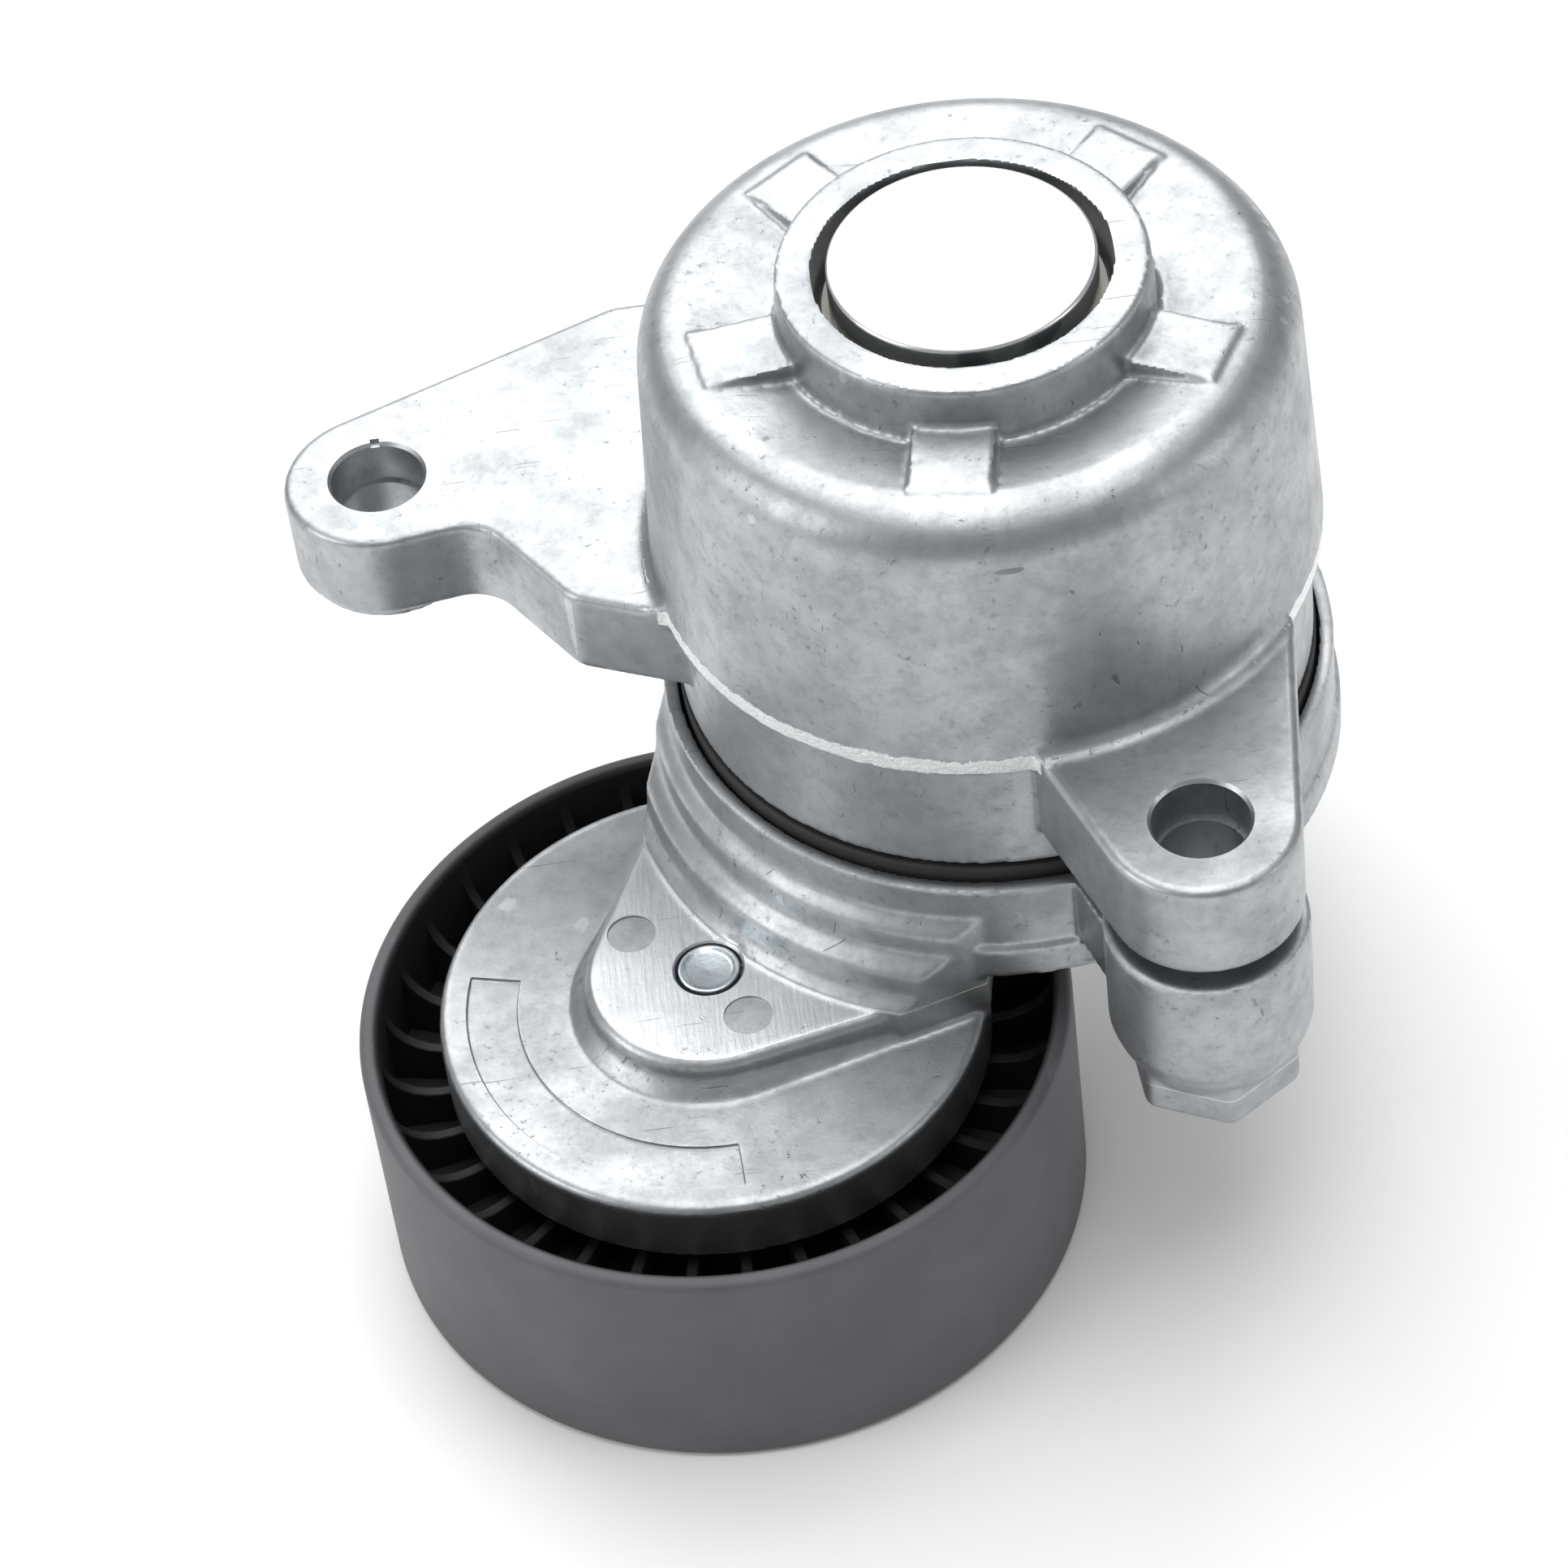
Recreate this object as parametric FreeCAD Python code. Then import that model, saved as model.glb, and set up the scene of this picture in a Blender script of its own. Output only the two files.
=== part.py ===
import FreeCAD, Part
import math
import os

# Automatic belt tensioner: a die-cast spring case with two mounting ears, a sprung arm that
# turns on a steel pivot pin, and a smooth plastic idler pulley on a ball bearing.
# Frame: Z is the pivot axis, z = 0 is the mounting face of the two ears, +Z points at the
# pin's head. All sizes in millimetres. The case and the arm are each one casting; each is
# built as a few plain nodes that meet face to face.

# ---- pulley and its bearing (17 x 40 x 12 deep groove) -----------------------------------
PULLEY_RADIUS = 35.0
PULLEY_WIDTH = 26.6
RIM_WALL = 1.9
RIM_EDGE_ROUND = 0.8
HUB_WALL = 3.4
HUB_PROUD = 0.3
WEB_THICKNESS = 3.0
RIB_COUNT = 32
RIB_THICKNESS = 1.1
RIB_RIM_DEPTH = 2.4
RIB_HUB_DEPTH = 7.6
BEARING_BORE_R = 8.5
BEARING_OUTER_R = 20.0
BEARING_WIDTH = 12.0
BEARING_EDGE = 0.35
BALL_COUNT = 8
BALL_RADIUS = 3.3
GROOVE_DEPTH = 0.7
GROOVE_CLEARANCE = 0.25
SEAL_THICKNESS = 0.6
SEAL_INSET = 0.35
CAGE_THICKNESS = 1.0
CAGE_MARGIN = 0.4
POCKET_CLEARANCE = 0.1

# ---- where the pulley stands, seen from the pivot axis -----------------------------------
ARM_LENGTH = 41.24
ARM_ANGLE = -141.36

# ---- spring case ---------------------------------------------------------------------------
CASE_RIDGE_R = 32.4
CASE_DRAFT = 1.6
CASE_TOP_Z = 28.3
CASE_TOP_ROUND = 5.0
CASE_BAND = 1.8
CASE_STEP = 1.3
CASE_LOWER_DEPTH = 15.8
CASE_WALL = 3.2
CASE_ROOF = 4.2
CAVITY_ROUND = 2.0
PIN_RING_WALL = 3.4
PIN_RING_HEIGHT = 4.6
PIN_RING_EDGE = 0.5
RECESS_DEPTH = 1.3
RIB_ANGLES = (-100.0, -28.5, 45.5, 127.5, 188.5)
RIB_WIDTH = 7.6
RIB_LENGTH = 8.2
RIB_HEIGHT = 0.4
DISH_DEPTH = 1.7
TUBE_WALL = 2.96
TUBE_RECESS = 5.8

# ---- mounting ears: places are (distance outside the case's ridge, angle) ------------------
EAR_THICKNESS = 10.0
EAR_PAD = 1.0
EAR_TIP_R = 9.3
EAR_EDGE_ROUND = 0.8
EAR_ROOT_ROUND = 1.6
SHORT_EAR_THICKNESS = 11.3
LONG_HOLE_PLACE = (27.943, 164.329)
SHORT_HOLE_PLACE = (12.649, -71.022)
LONG_EAR_REAR = (17.0, 132.54)
LONG_EAR_REAR_ROUND = 4.0
LONG_EAR_SHOULDER = (16.9, 170.31)
LONG_EAR_SHOULDER_ROUND = 5.0
LONG_EAR_FRONT = (8.36, 185.07)
LONG_EAR_FRONT_ROUND = 3.5
LONG_EAR_FRONT_ROOT = (-6.0, 204.62)
LONG_EAR_REAR_ROOT = (-2.0, 62.6)
LONG_EAR_REAR_END = (4.5, 78.43)
SHORT_EAR_LEFT_ROOT = (0.01, -88.59)
SHORT_EAR_RIGHT_ROOT = (0.82, -35.94)
BOLT_HOLE_R = 4.2
REGISTER_R = 4.6
REGISTER_DEPTH = 5.0

# ---- pivot: pin, bushes, washers -----------------------------------------------------------
PIN_R = 8.0
PIN_HEAD_R = 12.6
PIN_HEAD_PROUD = 0.6
PIN_HEAD_CHAMFER = 0.5
PIN_HEAD_GAP = 1.4
PIN_SHOULDER = 2.0
RIVET_FLARE = 2.4
RIVET_TAPER = 0.6
RIVET_HEIGHT = 1.8
BUSH_WALL = 1.4
BUSH_LENGTH = 14.0
BUSH_INSET = 0.4
BUSH_SPLIT = 0.3
RUNNING_CLEARANCE = 0.04
WASHER_GAP = 0.7
WASHER_THICKNESS = 1.6
LOWER_WASHER_THICKNESS = 1.5
RIVET_WASHER_OVERHANG = 2.6
RIVET_WASHER_THICKNESS = 1.2
FACE_CLEARANCE = 0.12

# ---- arm: steps are (distance outside the skirt, depth under its rim) ------------------------
SKIRT_WALL = 1.4
SKIRT_HEIGHT = 11.9
ARM_FLOOR = 4.0
HUB_OVER_TUBE = 0.6
LIP_HEIGHT = 3.8
LIP_PROUD = 0.5
STEPS = ((1.4, 5.5), (3.4, 9.5))
STEP_SLOPE = 1.5
STEP_DRAFT = 0.25
STEP_ROUND = 1.3
PLATEAU_DROP = 1.5
NECK_ROOT = 9.6
NECK_LEFT_ANGLE = 172.0
NECK_RIGHT_ANGLE = -100.0
NECK_BEND = (4.8, -169.5)
NECK_BEND_ROUND = 3.0
BOSS_R = 12.3
BOSS_HEIGHT = 3.8
BOSS_EDGE_ROUND = 1.2
BOSS_FOOT_ROUND = 1.4
DISC_GAP = 6.2
DISC_RECESS = 1.5
DISC_THICKNESS = 3.4
DISC_SKIRT = 3.6
DISC_SKIRT_WALL = 2.4
DISC_EDGE_ROUND = 0.9
POCKET_MARGIN = 2.7
POCKET_WIDTH = 5.1
POCKET_START = 165.0
POCKET_SWEEP = 107.5
POCKET_DEPTH = 0.35
POCKET_CORNER = 0.9
SEAT_UNDERCUT = 0.2
SPIGOT_SHORT = 0.6
SPIGOT_CHAMFER = 0.5
EJECTOR_R = 2.4
EJECTOR_DEPTH = 0.2
EJECTOR_PLACES = ((9.1, 141.2), (7.36, -63.7))

# ---- wrench boss on the arm ----------------------------------------------------------------
WRENCH_FLATS = 15.0
WRENCH_CORNER_ROUND = 1.6
WRENCH_TIP_ROUND = 1.2
WRENCH_COLLAR_R = 9.7
WRENCH_GAP = 2.1
WRENCH_COLLAR_HEIGHT = 12.6
WRENCH_CONE = 4.8
WRENCH_TIP = 4.0
WRENCH_TURN = 4.0
WRENCH_WEB_INSET = 2.2

# ---- pulley bolt (M8) ----------------------------------------------------------------------
BOLT_R = 4.0
BOLT_TIP_R = 3.1
BOLT_HEAD_FLATS = 13.0
BOLT_HEAD_HEIGHT = 4.6
BOLT_FLANGE_R = 8.6
BOLT_FLANGE_THICKNESS = 1.4
BOLT_FLANGE_EDGE = 0.5
BOLT_MOUTH = 0.5
SHIELD_THICKNESS = 0.8
SHIELD_OVERHANG = 1.0
SHIELD_STEP = 1.2

# ---- torsion spring, its pads and the damping ring -----------------------------------------
WIRE_HALF = 2.2
COIL_WALL_GAP = 4.0
COIL_TURNS = 6.5
COIL_END_GAP = 0.3
COIL_PAD_GAP = 0.1
LUG_WIDTH = 5.0
PAD_THICKNESS = 1.5
PAD_MARGIN = 1.0
DAMPER_PROUD = 0.2
DAMPER_WALL = 1.6
DAMPER_GAP = 0.4
DAMPER_SHOWN = 1.3
DAMPER_SLEEVE = 9.2
SIDE_CLEARANCE = 0.3

Z_AXIS = FreeCAD.Vector(0, 0, 1)
ORIGIN = FreeCAD.Vector(0, 0, 0)
PAST = 1.0  # how far a cutting or joining tool runs past the face it meets


def vec(x, y, z=0.0):
    """A point in space."""
    return FreeCAD.Vector(x, y, z)


def polar(radius, degrees, centre=(0.0, 0.0), z=0.0):
    """The point at a radius and angle about a centre."""
    turn = math.radians(degrees)
    return vec(centre[0] + radius * math.cos(turn), centre[1] + radius * math.sin(turn), z)


def disc(radius, z_low, z_high, centre=(0.0, 0.0)):
    """A solid cylinder between two heights."""
    return Part.makeCylinder(radius, z_high - z_low, vec(centre[0], centre[1], z_low), Z_AXIS)


def ring(outer, inner, z_low, z_high, centre=(0.0, 0.0)):
    """A cylinder with a bore through it."""
    return disc(outer, z_low, z_high, centre).cut(disc(inner, z_low - 1, z_high + 1, centre))


def revolve(points, centre=(0.0, 0.0)):
    """A closed (radius, z) outline turned once about an upright axis."""
    corners = [vec(r, 0, z) for r, z in points]
    face = Part.Face(Part.makePolygon(corners + corners[:1]))
    solid = face.revolve(ORIGIN, Z_AXIS, 360)
    solid.translate(vec(*centre))
    return solid


def block(x_low, x_high, half_width, z_low, z_high, degrees):
    """A box that reaches out along one direction from the pivot axis."""
    box = Part.makeBox(x_high - x_low, 2 * half_width, z_high - z_low, vec(x_low, -half_width, z_low))
    box.rotate(ORIGIN, Z_AXIS, degrees)
    return box


def rounded_outline(corners):
    """A flat wire through corners (x, y, radius), each rounded by its own arc."""
    count = len(corners)
    starts, middles, ends = [], [], []
    for i, (x, y, radius) in enumerate(corners):
        here = vec(x, y)
        before = vec(*corners[i - 1][:2]) - here
        after = vec(*corners[(i + 1) % count][:2]) - here
        before.normalize()
        after.normalize()
        half = before.getAngle(after) / 2
        reach = radius / math.tan(half)
        bisector = before + after
        bisector.normalize()
        centre = here + bisector * (radius / math.sin(half))
        starts.append(here + before * reach)
        ends.append(here + after * reach)
        middles.append(centre - bisector * radius)
    edges = []
    for i, (_, _, radius) in enumerate(corners):
        if radius > 0:
            edges.append(Part.Arc(starts[i], middles[i], ends[i]).toShape())
        edges.append(Part.LineSegment(ends[i], starts[(i + 1) % count]).toShape())
    return Part.Wire(edges)


def plate(corners, z_low, z_high):
    """A flat plate of rounded outline between two heights."""
    wire = rounded_outline(corners)
    wire.translate(vec(0, 0, z_low))
    return Part.Face(wire).extrude(vec(0, 0, z_high - z_low))


def tangent_point(outside, centre, radius, side):
    """Where a line from a point touches a circle, on its left (+1) or right (-1)."""
    gap = vec(*centre) - vec(*outside)
    spread = math.degrees(math.acos(radius / gap.Length))
    base = math.degrees(math.atan2(-gap.y, -gap.x))
    point = polar(radius, base + side * spread, centre)
    return (point.x, point.y)


def edges_at(shape, height, test):
    """Edges that lie flat at a height and pass a test on their middle point."""
    found = []
    for edge in shape.Edges:
        box = edge.BoundBox
        flat = abs(box.ZMin - height) < 0.01 and abs(box.ZMax - height) < 0.01
        middle = edge.valueAt((edge.FirstParameter + edge.LastParameter) / 2)
        if flat and test(middle):
            found.append(edge)
    return found


def hexagon(flats, z_low, z_high, centre, turn, corner_round=0.0):
    """A hexagonal prism measured across its flats."""
    corners = []
    for i in range(6):
        point = polar(flats / math.sqrt(3), turn + 60 * i, centre)
        corners.append((point.x, point.y, corner_round))
    return plate(corners, z_low, z_high)


def off_ridge(out, degrees):
    """A place in the mounting plane, from its distance outside the case's ridge."""
    point = polar(CASE_RIDGE_R + out, degrees)
    return (point.x, point.y)


# ---- heights and radii that follow from the sizes above --------------------------------------
PULLEY_AXIS = tuple(polar(ARM_LENGTH, ARM_ANGLE))[:2]
LONG_HOLE = off_ridge(*LONG_HOLE_PLACE)
SHORT_HOLE = off_ridge(*SHORT_HOLE_PLACE)
CASE_TOP_R = CASE_RIDGE_R - CASE_DRAFT
CASE_LOWER_R = CASE_RIDGE_R - CASE_STEP
CASE_BOTTOM_Z = -CASE_LOWER_DEPTH
CASE_CAVITY_R = CASE_LOWER_R - CASE_WALL
ROOF_UNDER_Z = CASE_TOP_Z - CASE_ROOF
RECESS_FLOOR_Z = CASE_TOP_Z - RECESS_DEPTH
PIN_RING_INNER_R = PIN_HEAD_R + PIN_HEAD_GAP
PIN_RING_OUTER_R = PIN_RING_INNER_R + PIN_RING_WALL
PIN_RING_TOP_Z = CASE_TOP_Z + PIN_RING_HEIGHT
BUSH_OUTER_R = PIN_R + RUNNING_CLEARANCE + BUSH_WALL
TUBE_OUTER_R = BUSH_OUTER_R + TUBE_WALL
TUBE_BOTTOM_Z = CASE_BOTTOM_Z + TUBE_RECESS
DAMPER_FLANGE_R = CASE_LOWER_R + DAMPER_PROUD
DAMPER_TOP_Z = CASE_BOTTOM_Z - DAMPER_GAP
SKIRT_INNER_R = DAMPER_FLANGE_R + SIDE_CLEARANCE
SKIRT_OUTER_R = SKIRT_INNER_R + SKIRT_WALL
SKIRT_TOP_Z = DAMPER_TOP_Z - DAMPER_SHOWN
SKIRT_BOTTOM_Z = SKIRT_TOP_Z - SKIRT_HEIGHT
FLOOR_TOP_Z = SKIRT_BOTTOM_Z + ARM_FLOOR
NECK_INNER_R = SKIRT_INNER_R - NECK_ROOT
ARM_HUB_R = TUBE_OUTER_R + HUB_OVER_TUBE
LOWER_WASHER_TOP_Z = TUBE_BOTTOM_Z - FACE_CLEARANCE
ARM_HUB_TOP_Z = LOWER_WASHER_TOP_Z - LOWER_WASHER_THICKNESS
HEAD_SEAT_Z = RECESS_FLOOR_Z + WASHER_THICKNESS + FACE_CLEARANCE
PIN_HEAD_TOP_Z = PIN_RING_TOP_Z + PIN_HEAD_PROUD
PIN_TAIL_R = PIN_R - PIN_SHOULDER
RIVET_R = PIN_TAIL_R + RIVET_FLARE
RIVET_WASHER_BOTTOM_Z = SKIRT_BOTTOM_Z - RIVET_WASHER_THICKNESS
PLATEAU_Z = SKIRT_BOTTOM_Z - PLATEAU_DROP
DISC_TOP_Z = PLATEAU_Z - BOSS_HEIGHT
DISC_UNDER_Z = DISC_TOP_Z - DISC_THICKNESS
DISC_SKIRT_END_Z = DISC_UNDER_Z - DISC_SKIRT
PULLEY_TOP_Z = DISC_TOP_Z - DISC_RECESS
PULLEY_MID_Z = PULLEY_TOP_Z - PULLEY_WIDTH / 2
PULLEY_BOTTOM_Z = PULLEY_TOP_Z - PULLEY_WIDTH
RIM_INNER_R = PULLEY_RADIUS - RIM_WALL
HUB_R = BEARING_OUTER_R + HUB_WALL
DISC_R = RIM_INNER_R - DISC_GAP
BEARING_TOP_Z = PULLEY_MID_Z + BEARING_WIDTH / 2
BEARING_END_Z = PULLEY_MID_Z - BEARING_WIDTH / 2
SPIGOT_END_Z = BEARING_END_Z + SPIGOT_SHORT
BOLT_SEAT_Z = BEARING_END_Z - SHIELD_THICKNESS
SHIELD_R = BEARING_OUTER_R + SHIELD_OVERHANG
PITCH_R = (BEARING_BORE_R + BEARING_OUTER_R) / 2
LAND_GAP = BALL_RADIUS + GROOVE_CLEARANCE - GROOVE_DEPTH
OUTER_RING_INNER_R = PITCH_R + LAND_GAP
INNER_RING_OUTER_R = PITCH_R - LAND_GAP
SEAT_SHOULDER_R = INNER_RING_OUTER_R - SEAT_UNDERCUT
WRENCH_COLLAR_TOP_Z = -SHORT_EAR_THICKNESS - WRENCH_GAP
WRENCH_COLLAR_BOTTOM_Z = WRENCH_COLLAR_TOP_Z - WRENCH_COLLAR_HEIGHT
WRENCH_CONE_END_Z = WRENCH_COLLAR_BOTTOM_Z - WRENCH_CONE
WRENCH_TIP_Z = WRENCH_CONE_END_Z - WRENCH_TIP
COIL_R = CASE_CAVITY_R - COIL_WALL_GAP - WIRE_HALF
LUG_HEIGHT = PAD_THICKNESS + 2 * WIRE_HALF
LUG_LEAD = math.degrees((LUG_WIDTH / 2 + COIL_END_GAP) / COIL_R)


def spring_lug(coil_angle, side, outer, z_low, z_high):
    """The abutment that a spring end pushes on, just past that end of the left-hand coil."""
    return block(COIL_R - WIRE_HALF, outer, LUG_WIDTH / 2, z_low, z_high, -coil_angle + side * LUG_LEAD)


# ---- spring case ---------------------------------------------------------------------------

def case_envelope():
    """The cup's outside as one solid: drafted upper wall, thin band at the ridge, lower wall."""
    solid = revolve([
        (0, CASE_TOP_Z), (CASE_TOP_R, CASE_TOP_Z), (CASE_RIDGE_R, 0), (CASE_RIDGE_R, -CASE_BAND),
        (CASE_LOWER_R, -CASE_BAND - CASE_STEP / 2), (CASE_LOWER_R, CASE_BOTTOM_Z), (0, CASE_BOTTOM_Z),
    ])
    solid = solid.makeFillet(CASE_TOP_ROUND, edges_at(solid, CASE_TOP_Z, lambda p: True))
    dish_floor = CASE_TOP_Z - DISH_DEPTH
    dish_rim = CASE_TOP_R - CASE_TOP_ROUND
    return solid.cut(revolve([(0, dish_floor), (PIN_RING_OUTER_R, dish_floor), (dish_rim, CASE_TOP_Z),
                              (dish_rim, CASE_TOP_Z + PAST), (0, CASE_TOP_Z + PAST)]))


def case_cup():
    """The upside-down cup with its pin ring, five ribs, cavity and the spring's stop lug."""
    case = case_envelope()
    buried = CASE_TOP_Z - DISH_DEPTH - PAST
    pin_ring = revolve([
        (0, buried), (PIN_RING_OUTER_R + PIN_RING_EDGE, buried), (PIN_RING_OUTER_R, PIN_RING_TOP_Z),
        (0, PIN_RING_TOP_Z),
    ])
    case = case.fuse(pin_ring.makeFillet(PIN_RING_EDGE, edges_at(pin_ring, PIN_RING_TOP_Z, lambda p: True)))
    for angle in RIB_ANGLES:
        case = case.fuse(block(PIN_RING_INNER_R, PIN_RING_OUTER_R + RIB_LENGTH, RIB_WIDTH / 2, buried,
                               CASE_TOP_Z + RIB_HEIGHT, angle))
    cavity = disc(CASE_CAVITY_R, CASE_BOTTOM_Z - PAST, ROOF_UNDER_Z)
    cavity = cavity.makeFillet(CAVITY_ROUND, edges_at(cavity, ROOF_UNDER_Z, lambda p: True))
    lug = spring_lug(360 * COIL_TURNS, -1, CASE_CAVITY_R + PAST, ROOF_UNDER_Z - LUG_HEIGHT, ROOF_UNDER_Z + PAST)
    case = case.cut(cavity.cut(lug))
    case = case.cut(disc(PIN_RING_INNER_R, RECESS_FLOOR_Z, PIN_RING_TOP_Z + PAST))
    return case.cut(disc(BUSH_OUTER_R, ROOF_UNDER_Z - PAST, RECESS_FLOOR_Z + PAST)).removeSplitter()


def root_fillet(ear_plan):
    """The hollow round where an ear's upper face meets the drafted wall."""
    size = EAR_ROOT_ROUND
    lean = CASE_DRAFT / CASE_TOP_Z
    foot = vec(CASE_RIDGE_R + size, 0, 0)
    top = vec(CASE_RIDGE_R - lean * size, 0, size)
    sag = 1 - math.sqrt(0.5)
    middle = vec(CASE_RIDGE_R + sag * size, 0, sag * size)
    inside = [top, vec(CASE_RIDGE_R - size, 0, size), vec(CASE_RIDGE_R - size, 0, -size / 2),
              vec(CASE_RIDGE_R + size, 0, -size / 2), foot]
    lines = [Part.LineSegment(a, b).toShape() for a, b in zip(inside, inside[1:])]
    face = Part.Face(Part.Wire([Part.Arc(foot, middle, top).toShape()] + lines))
    return face.revolve(ORIGIN, Z_AXIS, 360).common(ear_plan)


def ear(outline, hole, thickness, clear_of_wall):
    """One ear: a plate with rounded edges, its root round and its stepped bolt hole."""
    body = plate(outline, -thickness, 0).fuse(disc(EAR_TIP_R, -thickness, 0, hole)).removeSplitter()
    rims = edges_at(body, 0, lambda p: math.hypot(p.x, p.y) > CASE_RIDGE_R + PAST)
    rims += edges_at(body, -thickness, lambda p: math.hypot(p.x, p.y) > CASE_RIDGE_R + clear_of_wall)
    body = body.makeFillet(EAR_EDGE_ROUND, rims)
    body = body.fuse(root_fillet(plate(outline, -EAR_ROOT_ROUND, EAR_ROOT_ROUND)))
    body = body.cut(case_envelope())
    body = body.cut(disc(BOLT_HOLE_R, -thickness - EAR_PAD - PAST, PAST, hole))
    return body.cut(disc(REGISTER_R, -REGISTER_DEPTH, PAST, hole))


def long_ear():
    """The long ear, which runs tangent to the case behind, with a raised pad under its hole."""
    rear, shoulder = off_ridge(*LONG_EAR_REAR), off_ridge(*LONG_EAR_SHOULDER)
    outline = [
        rear + (LONG_EAR_REAR_ROUND,),
        tangent_point(rear, LONG_HOLE, EAR_TIP_R, 1) + (0.0,),
        tangent_point(shoulder, LONG_HOLE, EAR_TIP_R, -1) + (0.0,),
        shoulder + (LONG_EAR_SHOULDER_ROUND,), off_ridge(*LONG_EAR_FRONT) + (LONG_EAR_FRONT_ROUND,),
        off_ridge(*LONG_EAR_FRONT_ROOT) + (0.0,), (0.0, 0.0, 0.0), off_ridge(*LONG_EAR_REAR_ROOT) + (0.0,),
        off_ridge(*LONG_EAR_REAR_END) + (0.0,),
    ]
    body = ear(outline, LONG_HOLE, EAR_THICKNESS, EAR_TIP_R - EAR_EDGE_ROUND)
    pad = ring(EAR_TIP_R - EAR_EDGE_ROUND, BOLT_HOLE_R, -EAR_THICKNESS - EAR_PAD, -REGISTER_DEPTH - PAST, LONG_HOLE)
    return body.fuse(pad).removeSplitter()


def short_ear():
    """The short, thicker ear, a triangle from the case to its rounded tip."""
    left_root, right_root = off_ridge(*SHORT_EAR_LEFT_ROOT), off_ridge(*SHORT_EAR_RIGHT_ROOT)
    corners = [(0.0, 0.0), left_root, tangent_point(left_root, SHORT_HOLE, EAR_TIP_R, 1),
               tangent_point(right_root, SHORT_HOLE, EAR_TIP_R, -1), right_root]
    return ear([corner + (0.0,) for corner in corners], SHORT_HOLE, SHORT_EAR_THICKNESS, PAST)


# ---- pivot pieces --------------------------------------------------------------------------

def pivot_pin():
    """Stepped steel pin: turned head, bearing shank, and a tail closed over the rivet washer."""
    return revolve([
        (0, PIN_HEAD_TOP_Z), (PIN_HEAD_R - PIN_HEAD_CHAMFER, PIN_HEAD_TOP_Z),
        (PIN_HEAD_R, PIN_HEAD_TOP_Z - PIN_HEAD_CHAMFER), (PIN_HEAD_R, HEAD_SEAT_Z), (PIN_R, HEAD_SEAT_Z),
        (PIN_R, FLOOR_TOP_Z), (PIN_TAIL_R, FLOOR_TOP_Z), (PIN_TAIL_R, RIVET_WASHER_BOTTOM_Z),
        (RIVET_R, RIVET_WASHER_BOTTOM_Z), (RIVET_R - RIVET_TAPER, RIVET_WASHER_BOTTOM_Z - RIVET_HEIGHT),
        (0, RIVET_WASHER_BOTTOM_Z - RIVET_HEIGHT),
    ])


def bush(z_low):
    """A plain split-line bush pressed into the case's tube."""
    sleeve = ring(BUSH_OUTER_R, PIN_R + RUNNING_CLEARANCE, z_low, z_low + BUSH_LENGTH)
    seam = block(PIN_R - PAST, BUSH_OUTER_R + PAST, BUSH_SPLIT / 2, z_low - PAST, z_low + BUSH_LENGTH + PAST, 90)
    return sleeve.cut(seam)


# ---- arm -----------------------------------------------------------------------------------

def neck_plate(z_low, z_high, boss_radius):
    """The web between the skirt and the pulley boss, seen from above, between two heights."""
    skirt_left = polar(SKIRT_OUTER_R, NECK_LEFT_ANGLE)
    skirt_right = polar(SKIRT_OUTER_R, NECK_RIGHT_ANGLE)
    left_bend = polar(SKIRT_OUTER_R + NECK_BEND[0], NECK_BEND[1])
    left_touch = tangent_point((left_bend.x, left_bend.y), PULLEY_AXIS, boss_radius, 1)
    right_touch = tangent_point((skirt_right.x, skirt_right.y), PULLEY_AXIS, boss_radius, -1)
    corners = [
        (0.0, 0.0, 0.0), (skirt_left.x, skirt_left.y, 0.0), (left_bend.x, left_bend.y, NECK_BEND_ROUND),
        left_touch + (0.0,), right_touch + (0.0,), (skirt_right.x, skirt_right.y, 0.0),
    ]
    web = plate(corners, z_low, z_high)
    return web.fuse(disc(boss_radius, z_low, z_high, PULLEY_AXIS)).removeSplitter()


def arm_steps():
    """The rounded concentric steps that run down from the skirt to the plateau."""
    corners = [(SKIRT_INNER_R, SKIRT_TOP_Z - PAST, 0.0), (SKIRT_OUTER_R, SKIRT_TOP_Z - PAST, 0.0)]
    riser_r = SKIRT_OUTER_R
    for out, down in STEPS + ((STEPS[-1][0] + STEP_SLOPE, SKIRT_TOP_Z - PLATEAU_Z),):
        radius, height = SKIRT_OUTER_R + out, SKIRT_TOP_Z - down
        corners += [(riser_r, height + STEP_SLOPE, STEP_ROUND), (radius, height, STEP_ROUND)]
        riser_r = radius + STEP_DRAFT
    foot_r = corners[-1][0]
    corners[-1] = (foot_r, PLATEAU_Z, 0.0)
    corners += [(foot_r, DISC_TOP_Z, 0.0), (SKIRT_INNER_R, DISC_TOP_Z, 0.0)]
    wire = rounded_outline(corners)
    wire.rotate(ORIGIN, vec(1, 0), 90)
    steps = Part.Face(wire).revolve(ORIGIN, Z_AXIS, 360)
    return steps.common(neck_plate(DISC_TOP_Z, SKIRT_TOP_Z, BOSS_R + BOSS_FOOT_ROUND))


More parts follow.
